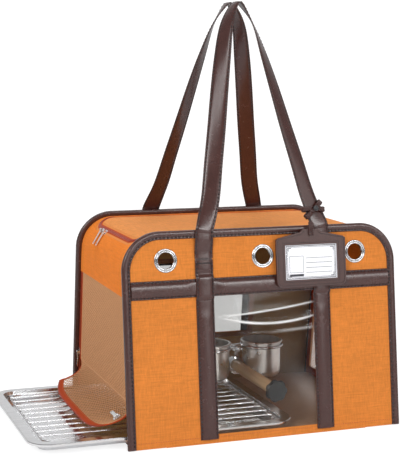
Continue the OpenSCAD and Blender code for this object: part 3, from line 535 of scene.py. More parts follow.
def copies_tree(name):
    """A Geometry Nodes tree that puts a copy of a shape on each point, turned as the point says."""
    tree = bpy.data.node_groups.new(name, "GeometryNodeTree")
    inputs = {}
    for label, kind in (("Geometry", "Geometry"), ("Shape", "Object"), ("Size", "Float"),
                        ("Finish", "Material")):
        inputs[label] = tree.interface.new_socket(label, in_out="INPUT", socket_type="NodeSocket" + kind)
    tree.interface.new_socket("Geometry", in_out="OUTPUT", socket_type="NodeSocketGeometry")
    add = tree.nodes.new
    given, made = add("NodeGroupInput"), add("NodeGroupOutput")
    shape = add("GeometryNodeObjectInfo")
    turn = add("GeometryNodeInputNamedAttribute")
    turn.data_type = "QUATERNION"
    turn.inputs["Name"].default_value = "turn"
    copies = add("GeometryNodeInstanceOnPoints")
    real = add("GeometryNodeRealizeInstances")
    finish = add("GeometryNodeSetMaterial")
    for a, b in ((given.outputs["Geometry"], copies.inputs["Points"]),
                 (given.outputs["Shape"], shape.inputs["Object"]),
                 (given.outputs["Size"], copies.inputs["Scale"]),
                 (given.outputs["Finish"], finish.inputs["Material"]),
                 (shape.outputs["Geometry"], copies.inputs["Instance"]),
                 (turn.outputs["Attribute"], copies.inputs["Rotation"]),
                 (copies.outputs[0], real.inputs[0]),
                 (real.outputs[0], finish.inputs["Geometry"]),
                 (finish.outputs[0], made.inputs[0])):
        tree.links.new(a, b)
    return tree, inputs


def scatter(name, items, shape, mat, body, slot=None, size=1.0):
    """Copies a small shape to each (place, turn) with a Geometry Nodes tree, then bakes it."""
    seed = sweep(name + "_unit", shape, mat)
    me = bpy.data.meshes.new(name)
    me.from_pydata([p for p, q in items], [], [])
    turns = me.attributes.new("turn", "QUATERNION", "POINT")
    for i, (p, q) in enumerate(items):
        turns.data[i].value = (q.w, q.x, q.y, q.z)
    ob = bpy.data.objects.new(name, me)
    bpy.context.scene.collection.objects.link(ob)
    tree, inputs = copies_tree(name)
    mod = ob.modifiers.new("copies", "NODES")
    mod.node_group = tree
    for label, value in (("Shape", seed), ("Size", size), ("Finish", mat)):
        mod[inputs[label].identifier] = value
    bake(ob)
    ob.data.materials.clear()
    ob.data.materials.append(mat)
    for face in ob.data.polygons:
        face.use_smooth = True
    bpy.data.objects.remove(seed)
    return place(ob, body, slot)


def axes_turn(along, normal):
    """The turn that lays a shape's x along a line and its z as near as can be to normal."""
    x = along.normalized()
    z = (normal - x * normal.dot(x)).normalized()
    y = z.cross(x)
    return Matrix((x, y, z)).transposed().to_quaternion()


def walk(points, normals, pitch, lift=0.0):
    """Evenly spaced (place, turn) items along a line of points, lift mm above it."""
    items = []
    d = pitch / 2
    run = 0.0
    for a, b, na, nb in zip(points, points[1:], normals, normals[1:]):
        length = (b - a).length / MM
        while d <= run + length and length > 0:
            t = (d - run) / length
            nn = na.lerp(nb, t).normalized()
            items.append((a.lerp(b, t) + nn * lift * MM, axes_turn(b - a, nn)))
            d += pitch
        run += length
    return items


# ---------------------------------------------------------------- leather ribbons
def ribbon_profile(width, thick):
    """Cross-section of a turned-edge leather strap: rounded edges, a stitch groove, a padded middle."""
    w = width / 2
    groove = w - STITCH_INSET
    top = [(w, 0.30), (w - 0.4, 0.58), (w - 1.1, 0.72), (groove + 0.5, 0.74), (groove, 0.50),
           (groove - 0.6, 0.74), (groove - 1.6, 0.90), (groove - 3.6, 1.04), (w * 0.42, 1.12),
           (w * 0.16, 1.15)]
    top = [(x, share * thick) for x, share in top]
    top += [(-x, y) for x, y in reversed(top)]
    return [(w, 0.12 * thick), *top, (-w, 0.12 * thick), (-w + 0.4, 0), (w - 0.4, 0)]


def doubled(profile, thick):
    """The same upper face on both sides, for a strap that is seen from both."""
    half = [(x, 0.8 * (y - thick / 2)) for x, y in profile if y > 0.3 * thick - 1e-9]
    return half + [(-x, -y) for x, y in half]


def pucker(a, width):
    """How far the leather is drawn down at each stitch, by the distance from the strap's edge."""
    edge = width / 2 - abs(a)
    return -0.26 * math.exp(-((edge - STITCH_INSET) / 1.1) ** 2)


def even(points, normals, step):
    """The same line with a point every step mm."""
    total = sum((b - a).length for a, b in zip(points, points[1:])) / MM
    count = max(2, round(total / step))
    out, nor, run, i = [], [], 0.0, 0
    for k in range(count + 1):
        d = min(total * k / count, total - 1e-6)
        while i < len(points) - 2 and run + (points[i + 1] - points[i]).length / MM <= d:
            run += (points[i + 1] - points[i]).length / MM
            i += 1
        t = (d - run) / max(1e-9, (points[i + 1] - points[i]).length / MM)
        out.append(points[i].lerp(points[i + 1], t))
        nor.append(normals[i].lerp(normals[i + 1], t).normalized())
    return out, nor


def ribbon(name, points, normals, width, thick, mat, both=False, puff=None):
    """A leather strap along points whose outer face looks along normals. Returns it, its two seam
    lines and their normals. puff gives how much fuller its middle is, in mm, at a point."""
    prof = ribbon_profile(width, thick)
    if both:
        prof = doubled(prof, thick)
    points, normals = even(points, normals, 1.4)
    seam_height = thick * (0.05 if both else 0.62)
    rim, padded = width / 2 - 0.6, width / 2 - 3.0
    rings, seams = [], {-1: [], 1: []}
    for i, (p, nn) in enumerate(zip(points, normals)):
        t = (points[min(i + 1, len(points) - 1)] - points[max(i - 1, 0)]).normalized()
        nn = (nn - t * nn.dot(t)).normalized()
        across = t.cross(nn)
        pull = 0.5 - 0.5 * cos(2 * pi * i / 3)
        full = puff(p) if puff else 0.0
        ring = []
        for a, b in prof:
            drawn_in = math.copysign(0.16 * pull, a) if abs(a) > rim else 0.0
            lift = pucker(a, width) * pull
            if abs(b) > 0.3 * thick:
                lift += full * max(0, 1 - (a / padded) ** 2)
            ring.append(p + (across * (a - drawn_in) + nn * (b + lift * math.copysign(1, b))) * MM)
        rings.append(ring)
        for s in (-1, 1):
            seams[s].append(p + (across * s * (width / 2 - STITCH_INSET) + nn * seam_height) * MM)
    return sweep(name, rings, mat, angle=50), seams, normals


def smooth_line(points, count=4):
    """A smooth curve through the points, with count steps between each two."""
    out = []
    for i in range(len(points) - 1):
        a, b, c, d = points[max(i - 1, 0)], points[i], points[i + 1], points[min(i + 2, len(points) - 1)]
        for k in range(count):
            t = k / count
            out.append(0.5 * (2 * b + (c - a) * t + (2 * a - 5 * b + 4 * c - d) * t * t
                              + (3 * b - a - 3 * c + d) * t ** 3))
    out.append(points[-1])
    return out


STITCH = stitch_shape()
FINE_STITCH = stitch_shape(2.1, 0.5)


def seam(name, line, normals, body, pitch=5.6, mat=M_STITCH_WITH_PAINTED_SHADE, shape=STITCH, slot="strap_leather", ends=0):
    """Stitches along a line. ends leaves that many off at each end."""
    items = walk(line, normals, pitch, lift=0.15)
    return scatter(name, items[ends:len(items) - ends], shape, mat, body, slot)


# ---------------------------------------------------------------- panels
def arch_line(inset, foot=1.0, fine=6):
    """The line that runs inset inside the edge of a panel, from foot to foot, as (x, up)."""
    half, r, flat = HALF_WIDTH - inset, CORNER - inset, HALF_WIDTH - CORNER
    bend = SLANT - CORNER
    turn = steps(0, pi / 2, 9 * fine)[1:]
    pts = [(-half, up) for up in steps(foot, bend, 29 * fine)]
    pts += [(-flat - r * cos(a), bend + r * sin(a)) for a in turn]
    pts += [(x, SLANT - inset) for x in steps(-flat, flat, 37 * fine)[1:]]
    pts += [(flat + r * sin(a), bend + r * cos(a)) for a in turn]
    pts += [(half, up) for up in steps(bend, foot, 29 * fine)[1:]]
    return pts


def window(t, lo, hi, soft):
    """1 inside lo..hi, falling smoothly to 0 at the ends."""
    if t <= lo or t >= hi:
        return 0.0
    k = min(1.0, min(t - lo, hi - t) / soft)
    return k * k * (3 - 2 * k)


def to_panel(co, side):
    """The (x, up, out) of a point, as on_panel takes them."""
    y = HALF_DEPTH - side * co.y / MM
    z = co.z / MM
    return co.x / MM, y * S + z * C, z * S - y * C


def panel_shape(side):
    """Lets the canvas belly out a little beside the straps, and sway between the eyelets."""
    def shape(co):
        x, up, out = to_panel(co, side)
        wave = noise.noise(Vector((x * 0.014 + side * 3, up * 0.011, 4.2)))
        out += window(abs(x), 104, 198, 30) * window(up, 8, 205, 40) * (1.1 + 1.3 * wave)
        if min(abs(x), abs(abs(x) - EYELETS_AT[2])) > 20:
            out += 0.4 * window(up, 234, 290, 14) * wave
        return on_panel(x, up, out, side)
    return shape


def film_shape(side):
    """Lets the film sag, with a low ridge along each of its three upper streaks of painted highlight."""
    def shape(co):
        x, up, out = to_panel(co, side)
        sag = 0.5 * sin(up * 0.03 + 0.6) + 0.6 * noise.noise(Vector((x * 0.012, up * 0.012, side)))
        ridge = 0.0
        for height, slope, bend, middle, _, strength, _, _ in PAINTED_HIGHLIGHT_STREAKS[:3]:
            off = x - middle
            ridge += 0.9 * strength * math.exp(-((up - height - slope * off - bend * off ** 2) / 4.5) ** 2)
        loose = window(x, -WINDOW_HALF, WINDOW_HALF, 26) * window(up, 10, 212, 26)
        out += loose * (sag + ridge * (1 if side < 0 else 0.3) - 0.3)
        return on_panel(x, up, out, side)
    return shape


def belt_puff(p):
    return 1.3 * window(abs(abs(p.x / MM) - STRAP_AT), 15, 300, 14)


def strap_puff(p):
    return 0.9 * window(p.z / MM, 2, 190, 16)


def panel_cloths(side, label):
    cuts = (((1, 0, 0), -208, 208, 8), ((0, 0, 1), 6, 296, 8))
    ob = soft_copy(label + "_panel", "skin_" + label, M_FRONT, cuts, panel_shape(side))
    place(ob, "bag", "canvas", label + "_panel")
    ob = soft_copy(label + "_lining", "inner_" + label, M_LINING, (((1, 0, 0), -190, 190, 20),))
    place(ob, "bag", "lining", label + "_lining")
    ob = soft_copy(label + "_window", "vinyl_" + label, M_FILM if side < 0 else M_FILM_BACK,
                   (((1, 0, 0), -94, 94, 3), ((0, 0, 1), 6, 216, 3)), film_shape(side), angle=60)
    place(ob, "bag", "window_film", label + "_window")


# The bound edge's cross-section: (inset from the rim, height above the panel's face)
BINDING = ((12, 0.05), (11.8, 0.9), (11.2, 1.55), (10.2, 1.75), (9.5, 1.5), (8.8, 1.85), (6.5, 2.4), (4, 2.5),
           (1.8, 2.2), (0.5, 1.3), (0.02, 0), (0.0, -1.5), (0.02, -3), (0.6, -4.2), (2, -4.9), (6, -5.0),
           (10, -4.9), (11.6, -4.6), (12, -4), (12, -3.05), (2.2, -3.05), (2.2, 0.05))
BINDING_SEAM = 9.5


def bound_edge(side, label):
    """A leather channel folded over the rim of a panel and sewn through."""
    lines = {inset: arch_line(inset, foot=0.9) for inset, out in BINDING}
    rings = []
    for i in range(len(lines[12])):
        ripple = 0.12 * noise.noise(Vector((i * 0.06, side * 5.0, 0)))
        pull = 0.45 * (0.5 - 0.5 * cos(2 * pi * i / 3))
        ring = []
        for inset, out in BINDING:
            if out > 0.8:
                out += ripple - pull * math.exp(-((inset - 9.7) / 1.2) ** 2)
            ring.append(on_panel(*lines[inset][i], out, side))
        rings.append(ring)
    ob = sweep("bound_edge_" + label, rings, M_LEATHER, angle=60)
    place(ob, "bag", "strap_leather", label + "_binding")
    edge = [on_panel(x, u, 1.75, side) for x, u in arch_line(BINDING_SEAM, foot=4)]
    seam("bound_edge_stitch_" + label, edge, [panel_normal(side)] * len(edge), "bag")


def belt(side, label):
    """The leather band over the top of the window, from binding to binding."""
    pts = [on_panel(x, BAND + BELT_HEIGHT / 2, 0.02, side) for x in steps(-197.85, 197.85, 60)]
    ob, seams, normals = ribbon("belt_" + label, pts, [panel_normal(side)] * len(pts), BELT_HEIGHT,
                                STRAP_THICKNESS, M_LEATHER, puff=belt_puff)
    place(ob, "bag", "strap_leather", label + "_band")
    for s in (-1, 1):
        seam("belt_stitch_%s_%d" % (label, s + 2), seams[s], normals, "bag")


# A sewn strap's line: (up the slope, height above the panel), with its step over the belt
STRAP_RISE = ((6, 0.02), (60, 0.02), (120, 0.02), (BAND - 12, 0.02), (BAND - 5, 0.05), (BAND - 1, 2.2),
              (BAND + 2, 2.62), (BAND + 13, 2.62), (BAND + 24, 2.62), (BAND + 27.5, 2.2), (BAND + 31, 0.3),
              (BAND + 34, 0.15), (243, 0.2), (246, 0.9), (250, 1.0), (259.5, 1.0))


def sewn_strap(side, label, sx, where):
    """One strap up the panel, the layer under the handle's root, and the seam across its end."""
    x, nn = sx * STRAP_AT, panel_normal(side)
    line = smooth_line([Vector((x, u, out)) for u, out in STRAP_RISE], 5)
    pts = [on_panel(v.x, v.y, max(v.z, 0.02), side) for v in line]
    ob, seams, normals = ribbon("strap_%s_%s" % (label, where), pts, [nn] * len(pts), STRAP_WIDTH,
                                STRAP_THICKNESS, M_LEATHER, puff=strap_puff)
    place(ob, "bag", "strap_leather", "%s_strap_%s" % (label, where))
    for s in (-1, 1):
        seam("strap_stitch_%s_%s_%d" % (label, where, s + 2), seams[s], normals, "bag", ends=1)
    under = [on_panel(x, u, 0.03, side) for u in (255, 258, 261, 264, 267)]
    ob, seams, normals = ribbon("strap_root_%s_%s" % (label, where), under, [nn] * 5, 25.6, 0.3, M_LEATHER)
    place(ob, "bag", "strap_leather")
    cross = [on_panel(x + off, 255, 3.35, side) for off in (-11, 0, 11)]
    seam("strap_cross_%s_%s" % (label, where), cross, [nn] * 3, "bag", 3.4)


SIDES = ((-1, "front"), (1, "back"))
for side, label in SIDES:
    panel_cloths(side, label)
    bound_edge(side, label)
    belt(side, label)
    sewn_strap(side, label, -1, "left")
    sewn_strap(side, label, 1, "right")
    foot = [on_panel(x, 9.0, 0.05, side) for x in range(-196, 197, 8)]
    seam("foot_stitch_" + label, foot, [panel_normal(side)] * len(foot), "bag", 3.6, M_THREAD, FINE_STITCH,
         "canvas")


# ---------------------------------------------------------------- handles
def toward_top(start, k):
    """The y and z that lie the share k of the way from a point of the handle to its top."""
    return start.y + (-HANDLE_APART - start.y) * k, start.z + (HANDLE_TOP - start.z) * k


def handle_line():
    """The front handle's middle line, in mm, from its left root over the top to its right root."""
    over = 2 + STRAP_THICKNESS / 2 + 0.6
    foot = ((STRAP_AT, 262, 1.5), (STRAP_AT, 273, 1.6), (STRAP_AT - 0.5, SLANT - 16, over),
            (STRAP_AT - 1, SLANT - 5, over + 0.2), (HANDLE_LEG, SLANT + 4, over))
    pts = [on_panel(*point) / MM for point in foot]
    start = pts[-1]
    for share, k in HANDLE_SHARES:
        pts.append(Vector((share * HANDLE_LEG, *toward_top(start, k))))
    pts.append(Vector((0, -HANDLE_APART, HANDLE_TOP)))
    left = [Vector((-p.x, p.y, p.z)) for p in pts]
    return left + list(reversed(pts[:-1]))


def handle(side):
    """A handle's line in metres, and its outer face, which twists from the panel to the hand."""
    line = smooth_line([Vector((p.x, -side * p.y, p.z)) for p in handle_line()], 9)
    normals = []
    for i, p in enumerate(line):
        t = (line[min(i + 1, len(line) - 1)] - line[max(i - 1, 0)]).normalized()
        up = min(1.0, max(0.0, p.z - BAG_HEIGHT) / (HANDLE_TOP - BAG_HEIGHT))
        turn = -math.radians(12 * min(1, up * 12) + 38 * up + 40 * up ** 6)
        out = t.cross(Vector((0, -side, 0))).normalized()
        flat = t.cross(out).normalized() * -side
        face = t.cross(out * cos(turn) + flat * sin(turn))
        outward = Vector((p.x, side * 60, 0)) if up < 0.6 else Vector((p.x * 3, side * 10, 30))
        normals.append(-face if face.dot(outward) < 0 else face)
    return [p * MM for p in line], normals


for side, label in SIDES:
    points, normals = handle(side)
    ob, seams, normals = ribbon("grip_" + label, points, normals, STRAP_WIDTH, STRAP_THICKNESS, M_LEATHER,
                                both=True)
    place(ob, "handle_" + label, "strap_leather", label + "_handle")
    for s in (-1, 1):
        seam("grip_stitch_%s_%d" % (label, s + 2), seams[s], normals, "handle_" + label, ends=1)


# ---------------------------------------------------------------- top and ends of the bag
TOP_CUTS = (((1, 0, 0), -203, 203, 8), ((0, 1, 0), -150, 150, 8), ((0, 0, 1), MESH_TOP, 292, 8))
BASE_CUTS = (((1, 0, 0), -200, 200, 25),)


def gusset_shape(co):
    """Lets the canvas over each end swell and dip a little, clear of its zip and its top."""
    x, y, z = co / MM
    loose = window(z, 224, 278, 22) * (1 if abs(x) > 180 else 0)
    swell = loose * noise.noise(Vector((y * 0.02, z * 0.02, 1.3 + (x > 0))))
    return co + Vector((swell if x > 0 else -swell, 0, 0)) * MM


def lid_shape(co):
    """Lets the middle of the lid sag."""
    x, y = co.x / MM, co.y / MM
    loose = window(x, -150, 150, 50) * window(y, -100, 100, 45)
    dip = loose * (0.7 * noise.noise(Vector((x * 0.02, y * 0.02, 7))) - 1.6)
    return co + Vector((0, 0, dip)) * MM


def hinge_room(co):
    """Sets the door's tape a little further in beside its hinge, so that it clears the gusset."""
    k = min(max((co.z / MM - 150) / 50, 0), 1)
    return co - Vector((0.45 * k, 0, 0.5 * k)) * MM


place(soft_copy("gusset", "gusset_skin", M_SIDE, TOP_CUTS, gusset_shape), "bag", "side_canvas", "gusset")
place(soft_copy("lid_panel", "lid_skin", M_LID, TOP_CUTS, lid_shape), "lid", "lid_canvas", "lid_panel")
for node, name, mat, body, shape in (
        ("lid_tape", "lid_tape_cloth", M_LID_TAPE, "lid", None),
        ("lid_frame_tape", "lid_rim_tape", M_LID_TAPE, "bag", None),
        ("left_zip_tape", "left_tape_cloth", M_TAPE, "bag", None),
        ("right_zip_tape", "right_tape_cloth", M_TAPE, "bag", None),
        ("right_door_tape", "door_tape_cloth", M_TAPE, "right_door", hinge_room)):
    place(soft_copy(node, name, mat, shape=shape, bevel=0.2), body, "zip_tape", node)
place(soft_copy("base_board", "floor_board", M_FLOOR, BASE_CUTS, bevel=0.6), "bag", "lining", "base_board")
place(soft_copy("base_skin", "base_cloth", M_FRONT, BASE_CUTS), "bag", "canvas", "base_skin")


# ---------------------------------------------------------------- netting
def net(name, surface, across, up, wide, high, body, cell=5.2, thread=1.45):
    """A net of six-sided holes over a surface. across and up are the ranges that surface takes, and
    wide and high the lengths in mm that they cover."""
    r = cell / math.sqrt(3)
    cols, rows = int(high / cell) + 1, int(wide / (1.5 * r)) + 1
    verts, index, faces = [], {}, []

    def knot(a, b):
        """The number of the net's point a mm up and b mm across, held inside its edges."""
        a, b = min(max(a, 0), high), min(max(b, 0), wide)
        key = (round(a, 2), round(b, 2))
        if key not in index:
            index[key] = len(verts)
            verts.append(surface(across[0] + (across[1] - across[0]) * b / wide,
                                 up[0] + (up[1] - up[0]) * a / high))
        return index[key]

    for j in range(rows + 1):
        for i in range(cols + 1):
            a, b = (i + 0.5 * (j % 2)) * cell, j * 1.5 * r
            if a > high + cell / 2 or b > wide + r:
                continue
            corners = [knot(a + r * sin(q), b + r * cos(q)) for q in around(6)]
            ring = [q for k, q in enumerate(corners) if q not in corners[:k]]
            if len(ring) > 2:
                faces.append(ring)
    ob = from_lists(name, verts, faces, M_NET, 60)
    m = ob.modifiers.new("threads", "WIREFRAME")
    m.thickness = thread * MM
    m.use_even_offset = False
    m.use_boundary = True
    bake(ob)
    for face in ob.data.polygons:
        face.use_smooth = True
    return place(ob, body, "mesh_cloth")


def end_of_bag(x, inset=12):
    """The flat surface in an end of the bag: across is -1..1 between the panels, up is the height."""
    def surface(across, z):
        return Vector((x, across * (half_depth(z, 5) - inset), z)) * MM
    return surface


ob = net("left_net", end_of_bag(-201), (-1, 1), (62.4, 205.6), 276, 143.2, "bag")
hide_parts("left_mesh")
ob = net("door_net", end_of_bag(200.4), (-1, 1), (18.6, 203.4), 285, 184.8, "right_door")
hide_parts("right_door_mesh")

FLAP_HALF = half_depth(62, 5) - 12


def flap_point(down, along, lift=0.0):
    """A point of the flared flap. down is 0 at its crease and 1 at its hem, along is -1..1."""
    e = abs(along) ** 5
    p = Vector((-SIDE_FACE - 48 * down * down + 13 * e * down, (FLAP_HALF - 6 * down ** 3) * along,
                FLAP_TOP - 40 * (1.4 * down - 0.4 * down * down) + 11 * e * down))
    if lift:
        p += flap_normal(down, along) * lift
    return p * MM


def flap_normal(down, along):
    h = 0.02
    a = flap_point(down + h, along) - flap_point(down, along)
    b = flap_point(down, along + h) - flap_point(down, along)
    return b.cross(a).normalized()


def flap_middle(along, down):
    return flap_point(down, along, -0.5)


ob = net("flap_net", flap_middle, (-0.975, 0.975), (0.002, 0.915), 264, 58, "flap", thread=1.35)
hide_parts("left_flap_mesh")


def patch(name, downs, alongs, mat, puff, thick=1.4):
    """A closed strip of tape on the flap, over a grid of places down and along it."""
    rows, cols = len(downs) - 1, len(alongs) - 1
    top, low = [], []
    for i, down in enumerate(downs):
        for along in alongs:
            top.append(flap_point(down, along, puff * sin(pi * i / rows)))
            low.append(flap_point(down, along, -thick))
    w, n = cols + 1, (rows + 1) * (cols + 1)
    faces = []
    for i in range(rows):
        for j in range(cols):
            k = i * w + j
            faces += [(k, k + 1, k + w + 1, k + w), (n + k, n + k + w, n + k + w + 1, n + k + 1)]
    for j in range(cols):
        k = rows * w + j
        faces += [(j, n + j, n + j + 1, j + 1), (k, k + 1, n + k + 1, n + k)]
    for i in range(rows):
        k, q = i * w, i * w + cols
        faces += [(k, k + w, n + k + w, n + k), (q, n + q, n + q + w, q + w)]
    return from_lists(name, top + low, faces, mat, 50)


hem = patch("flap_hem", steps(0.905, 1, 6), steps(-1, 1, 60), M_TAPE, puff=0.5)
place(hem, "flap", "zip_tape", "left_flap_tape")
for name, alongs in (("flap_edge_1", steps(-1, -0.97, 4)), ("flap_edge_3", steps(0.97, 1, 4))):
    place(patch(name, steps(0, 0.902, 24), alongs, M_TAPE, puff=0.1), "flap", "zip_tape")

# ---------------------------------------------------------------- zips
COIL_OFF = 0.95           # distance of each half of a coil from the zip's middle


def coil_shape(radius=0.42, half_width=1.35):
    """One turn of a nylon zip's coil, lying across the zip."""
    return [[Vector((radius * cos(a), t * half_width, radius * sin(a) + 0.25 * (1 - t * t))) * MM
             for a in around(6)] for t in steps(-1, 1, 4)]


COIL = coil_shape()


def coil(name, line, normals, body, shift, lift=0.3):
    """One half of a nylon zip: turns of coil along a line, moved sideways by shift."""
    items = [(p + q @ Vector((0, shift * MM, 0)), q) for p, q in walk(line, normals, 1.5, lift=lift)]
    return scatter(name, items, COIL, M_COIL, body, "zip_tape")


def lid_run(grow):
    """The line grow outside the lid's outline, on the curve of the top, with its normals."""
    hx, hy, r = LID_HALF_LENGTH + grow, LID_HALF_WIDTH + grow, LID_CORNER + grow
    plan = []
    for sx, sy, first in ((1, -1, -pi / 2), (1, 1, 0), (-1, 1, pi / 2), (-1, -1, pi)):
        cx, cy = sx * (hx - r), sy * (hy - r)
        plan += [(cx + r * cos(a), cy + r * sin(a)) for a in steps(first, first + pi / 2, 10)]
    plan.append(plan[0])
    fine = []
    for (x0, y0), (x1, y1) in zip(plan, plan[1:]):
        count = max(1, int(hypot(x1 - x0, y1 - y0) / 4))
        fine += list(zip(steps(x0, x1, count), steps(y0, y1, count)))[:-1]
    fine.append(plan[-1])
    points, normals = [], []
    for x, y in fine:
        over = max(0.0, abs(x) - (HALF_WIDTH - CORNER))
        rise = math.sqrt(GUSSET_RADIUS * GUSSET_RADIUS - over * over)
        points.append(Vector((x, y, GUSSET_BEND + rise - 0.3)) * MM)
        normals.append(Vector((math.copysign(over, x), 0, rise)).normalized())
    return points, normals


def zipped_runs(points):
    """The runs of point numbers that the zip follows: all round but for the lid's hinge."""
    runs = [[]]
    for i, p in enumerate(points):
        if p.y > 0.107 and abs(p.x) < 0.150:
            runs.append([])
        else:
            runs[-1].append(i)
    return [run for run in runs if run]


points, normals = lid_run(0.2)
for k, run in enumerate(zipped_runs(points)):
    line, ns = [points[i] for i in run], [normals[i] for i in run]
    if len(line) > 2:
        coil("lid_coil_frame_%d" % k, line, ns, "bag", -COIL_OFF, 0.35)
        coil("lid_coil_lid_%d" % k, line, ns, "lid", COIL_OFF, 0.35)


def side_run(sx, sy, z0, z1):
    """A line up the edge of an end of the bag, beside the panel, with its normals."""
    line = [Vector((sx * SIDE_FACE, sy * (half_depth(z, 5) - 6.2), z)) * MM for z in steps(z0, z1, 40)]
    return line, [Vector((sx, 0, 0))] * len(line)


for sy in (-1, 1):
    end = "%d" % (sy + 2)
    line, ns = side_run(-1, sy, 63, 205)
    coil("left_coil_a_" + end, line, ns, "bag", COIL_OFF)
    coil("left_coil_b_" + end, line, ns, "bag", -COIL_OFF)
    line, ns = side_run(-1, sy, 21, 60)
    coil("left_coil_open_" + end, line, ns, "bag", -COIL_OFF * sy)
    line, ns = side_run(1, sy, 12, 202)
    coil("right_coil_a_" + end, line, ns, "bag", -COIL_OFF * sy)
    coil("right_coil_b_" + end, line, ns, "right_door", COIL_OFF * sy)
line = [Vector((SIDE_FACE, y, 11.5)) * MM for y in range(-146, 147, 4)]
coil("right_coil_foot", line, [Vector((1, 0, 0))] * len(line), "bag", -0.6, 0.35)
line = [flap_point(1.0, along) for along in steps(-1, 1, 70)]
coil("flap_coil", line, [flap_normal(0.98, along) for along in steps(-1, 1, 70)], "flap", 0, -0.2)
line = [flap_point(0.925, along, 0.2) for along in steps(-0.97, 0.97, 70)]
ns = [flap_normal(0.925, along) for along in steps(-0.97, 0.97, 70)]
seam("flap_hem_stitch", line, ns, "flap", 3.4, M_THREAD, FINE_STITCH, "zip_tape")


# ---------------------------------------------------------------- the tag, in mm from its own middle line
TAG_HALF, TAG_FOOT, TAG_SHOULDER, TAG_NECK = 54.5, 214, 283, 294.5
TAG_SEAM = 2.6            # distance of the edge seam from the tag's sides and foot
SHOULDER_SEAM = 1.0       # and from its shoulders
CARD_HALF_WIDTH, CARD_HALF_HEIGHT = 42.8, 27
CARD_MIDDLE = TAG_SHOULDER - 34.5 + 1
CARD_FACE = 8.14


def on_tag(x, up, out=TAG_FACE):
    return on_panel(TAG_AT + x, up, out)


def tag_edge():
    """The line of the edge seam, from the left of the neck round the foot to the right of it."""
    r, w = 6.5, TAG_HALF - TAG_SEAM
    foot, shoulder = TAG_FOOT + TAG_SEAM, TAG_SHOULDER - SHOULDER_SEAM
    line = [(-10, TAG_NECK), (-15, 290), (-w + 2, shoulder + 0.8), (-w, shoulder)]
    line += [(-w + r - r * cos(a), foot + r - r * sin(a)) for a in steps(0, pi / 2, 8)]
    line += [(w - r + r * sin(a), foot + r - r * cos(a)) for a in steps(0, pi / 2, 8)]
    return line + [(w, shoulder), (w - 2, shoulder + 0.8), (15, 290), (10, TAG_NECK)]


def rectangle(half_width, half_height):
    corners = ((-1, -1), (1, -1), (1, 1), (-1, 1), (-1, -1))
    return [(sx * half_width, CARD_MIDDLE + su * half_height) for sx, su in corners]


ob = soft_copy("tag_back", "tag_leather_back", M_TAG, bevel=0.5, segments=3)
place(ob, "name_tag", "tag_leather", "tag_back")
ob = soft_copy("tag_front", "tag_leather_front", M_TAG, bevel=0.6, segments=3)
place(ob, "name_tag", "tag_leather", "tag_front")
for name, outline in (("tag_edge_stitch", tag_edge()),
                      ("tag_window_stitch", rectangle(CARD_HALF_WIDTH + 1.2, CARD_HALF_HEIGHT + 1.2))):
    line = [on_tag(x, up) for x, up in outline]
    seam(name, line, [panel_normal()] * len(line), "name_tag", 3.0, M_STITCH_WITH_PAINTED_SHADE, FINE_STITCH, "tag_leather")


def ink(name, rects):
    """Printed bars and rules on the card, as thin flat plates. A rect is (left, low, right, high)."""
    verts, faces = [], []
    for x0, u0, x1, u1 in rects:
        k = len(verts)
        for out in (CARD_FACE - 0.03, CARD_FACE):
            verts += [on_tag(x, CARD_MIDDLE + u, out) for x, u in ((x0, u0), (x1, u0), (x1, u1), (x0, u1))]
        faces += [(k + 4, k + 5, k + 6, k + 7), (k, k + 3, k + 2, k + 1)]
        faces += [(k + i, k + (i + 1) % 4, k + 4 + (i + 1) % 4, k + 4 + i) for i in range(4)]
    return place(from_lists(name, verts, faces, M_INK), "name_tag", "card")


def frame_rects(x0, u0, x1, u1, t):
    return [(x0, u0, x1, u0 + t), (x0, u1 - t, x1, u1), (x0, u0 + t, x0 + t, u1 - t),
            (x1 - t, u0 + t, x1, u1 - t)]


def corner_rects(sx, su):
    """The two short bars that thicken one corner of the card's border."""
    x, u = sx * 36, su * 21
    return [(min(x, x - sx * dx), min(u, u - su * du), max(x, x - sx * dx), max(u, u - su * du))
            for dx, du in ((5, 0.9), (0.9, 5))]


rects = frame_rects(-39, -24, 39, 24, 1.0) + frame_rects(-37, -22, 37, 22, 0.5)
for sx in (-1, 1):
    for su in (-1, 1):
        rects += corner_rects(sx, su)
rects += frame_rects(-34, -15, -12, 9, 0.5)
rects += [(-8, u, 33, u + 0.6) for u in (5.5, -1.5, -8.5, -15.5)]
rects.append((-34, -20.5, -12, -17.0))
ink("card_rules", rects)
place(soft_copy("tag_card", "card_sheet", M_CARD), "name_tag", "card", "tag_card")
FILM_GAP = 0.05
ob = soft_copy("tag_film", "card_film", M_CARD_FILM, shape=lambda co: co + panel_normal() * FILM_GAP * MM)
place(ob, "name_tag", "window_film", "tag_film")


# ---------------------------------------------------------------- the braided thong
def tube(name, path, normals, radius, mat, sides=8, closed=False):
    rings = []
    m = len(path)
    for i in range(m):
        after = path[(i + 1) % m if closed else min(i + 1, m - 1)]
        before = path[(i - 1) % m if closed else max(i - 1, 0)]
        t = (after - before).normalized()
        z = (normals[i] - t * normals[i].dot(t)).normalized()
        y = z.cross(t)
        rings.append([path[i] + (y * cos(q) + z * sin(q)) * radius * MM for q in around(sides)])
    return sweep(name, rings, mat, closed, angle=80)


def braid(name, centre, tangent, normal, lobes, count, body, closed, wide, high, radius):
    """Three strands over and under each other along a line given as functions of 0..1."""
    strands = []
    for k in range(3):
        path, normals = [], []
        for i in range(count):
            s = i / count if closed else i / (count - 1)
            phase = 2 * pi * (lobes * s + k / 3)
            z = normal(s)
            y = z.cross(tangent(s)).normalized()
            path.append(centre(s) + (y * wide * sin(phase) + z * high * sin(2 * phase)) * MM)
            normals.append(z)
        ob = tube("%s_%d" % (name, k + 1), path, normals, radius, M_LEATHER, closed=closed)
        strands.append(place(ob, body, "strap_leather"))
    return strands


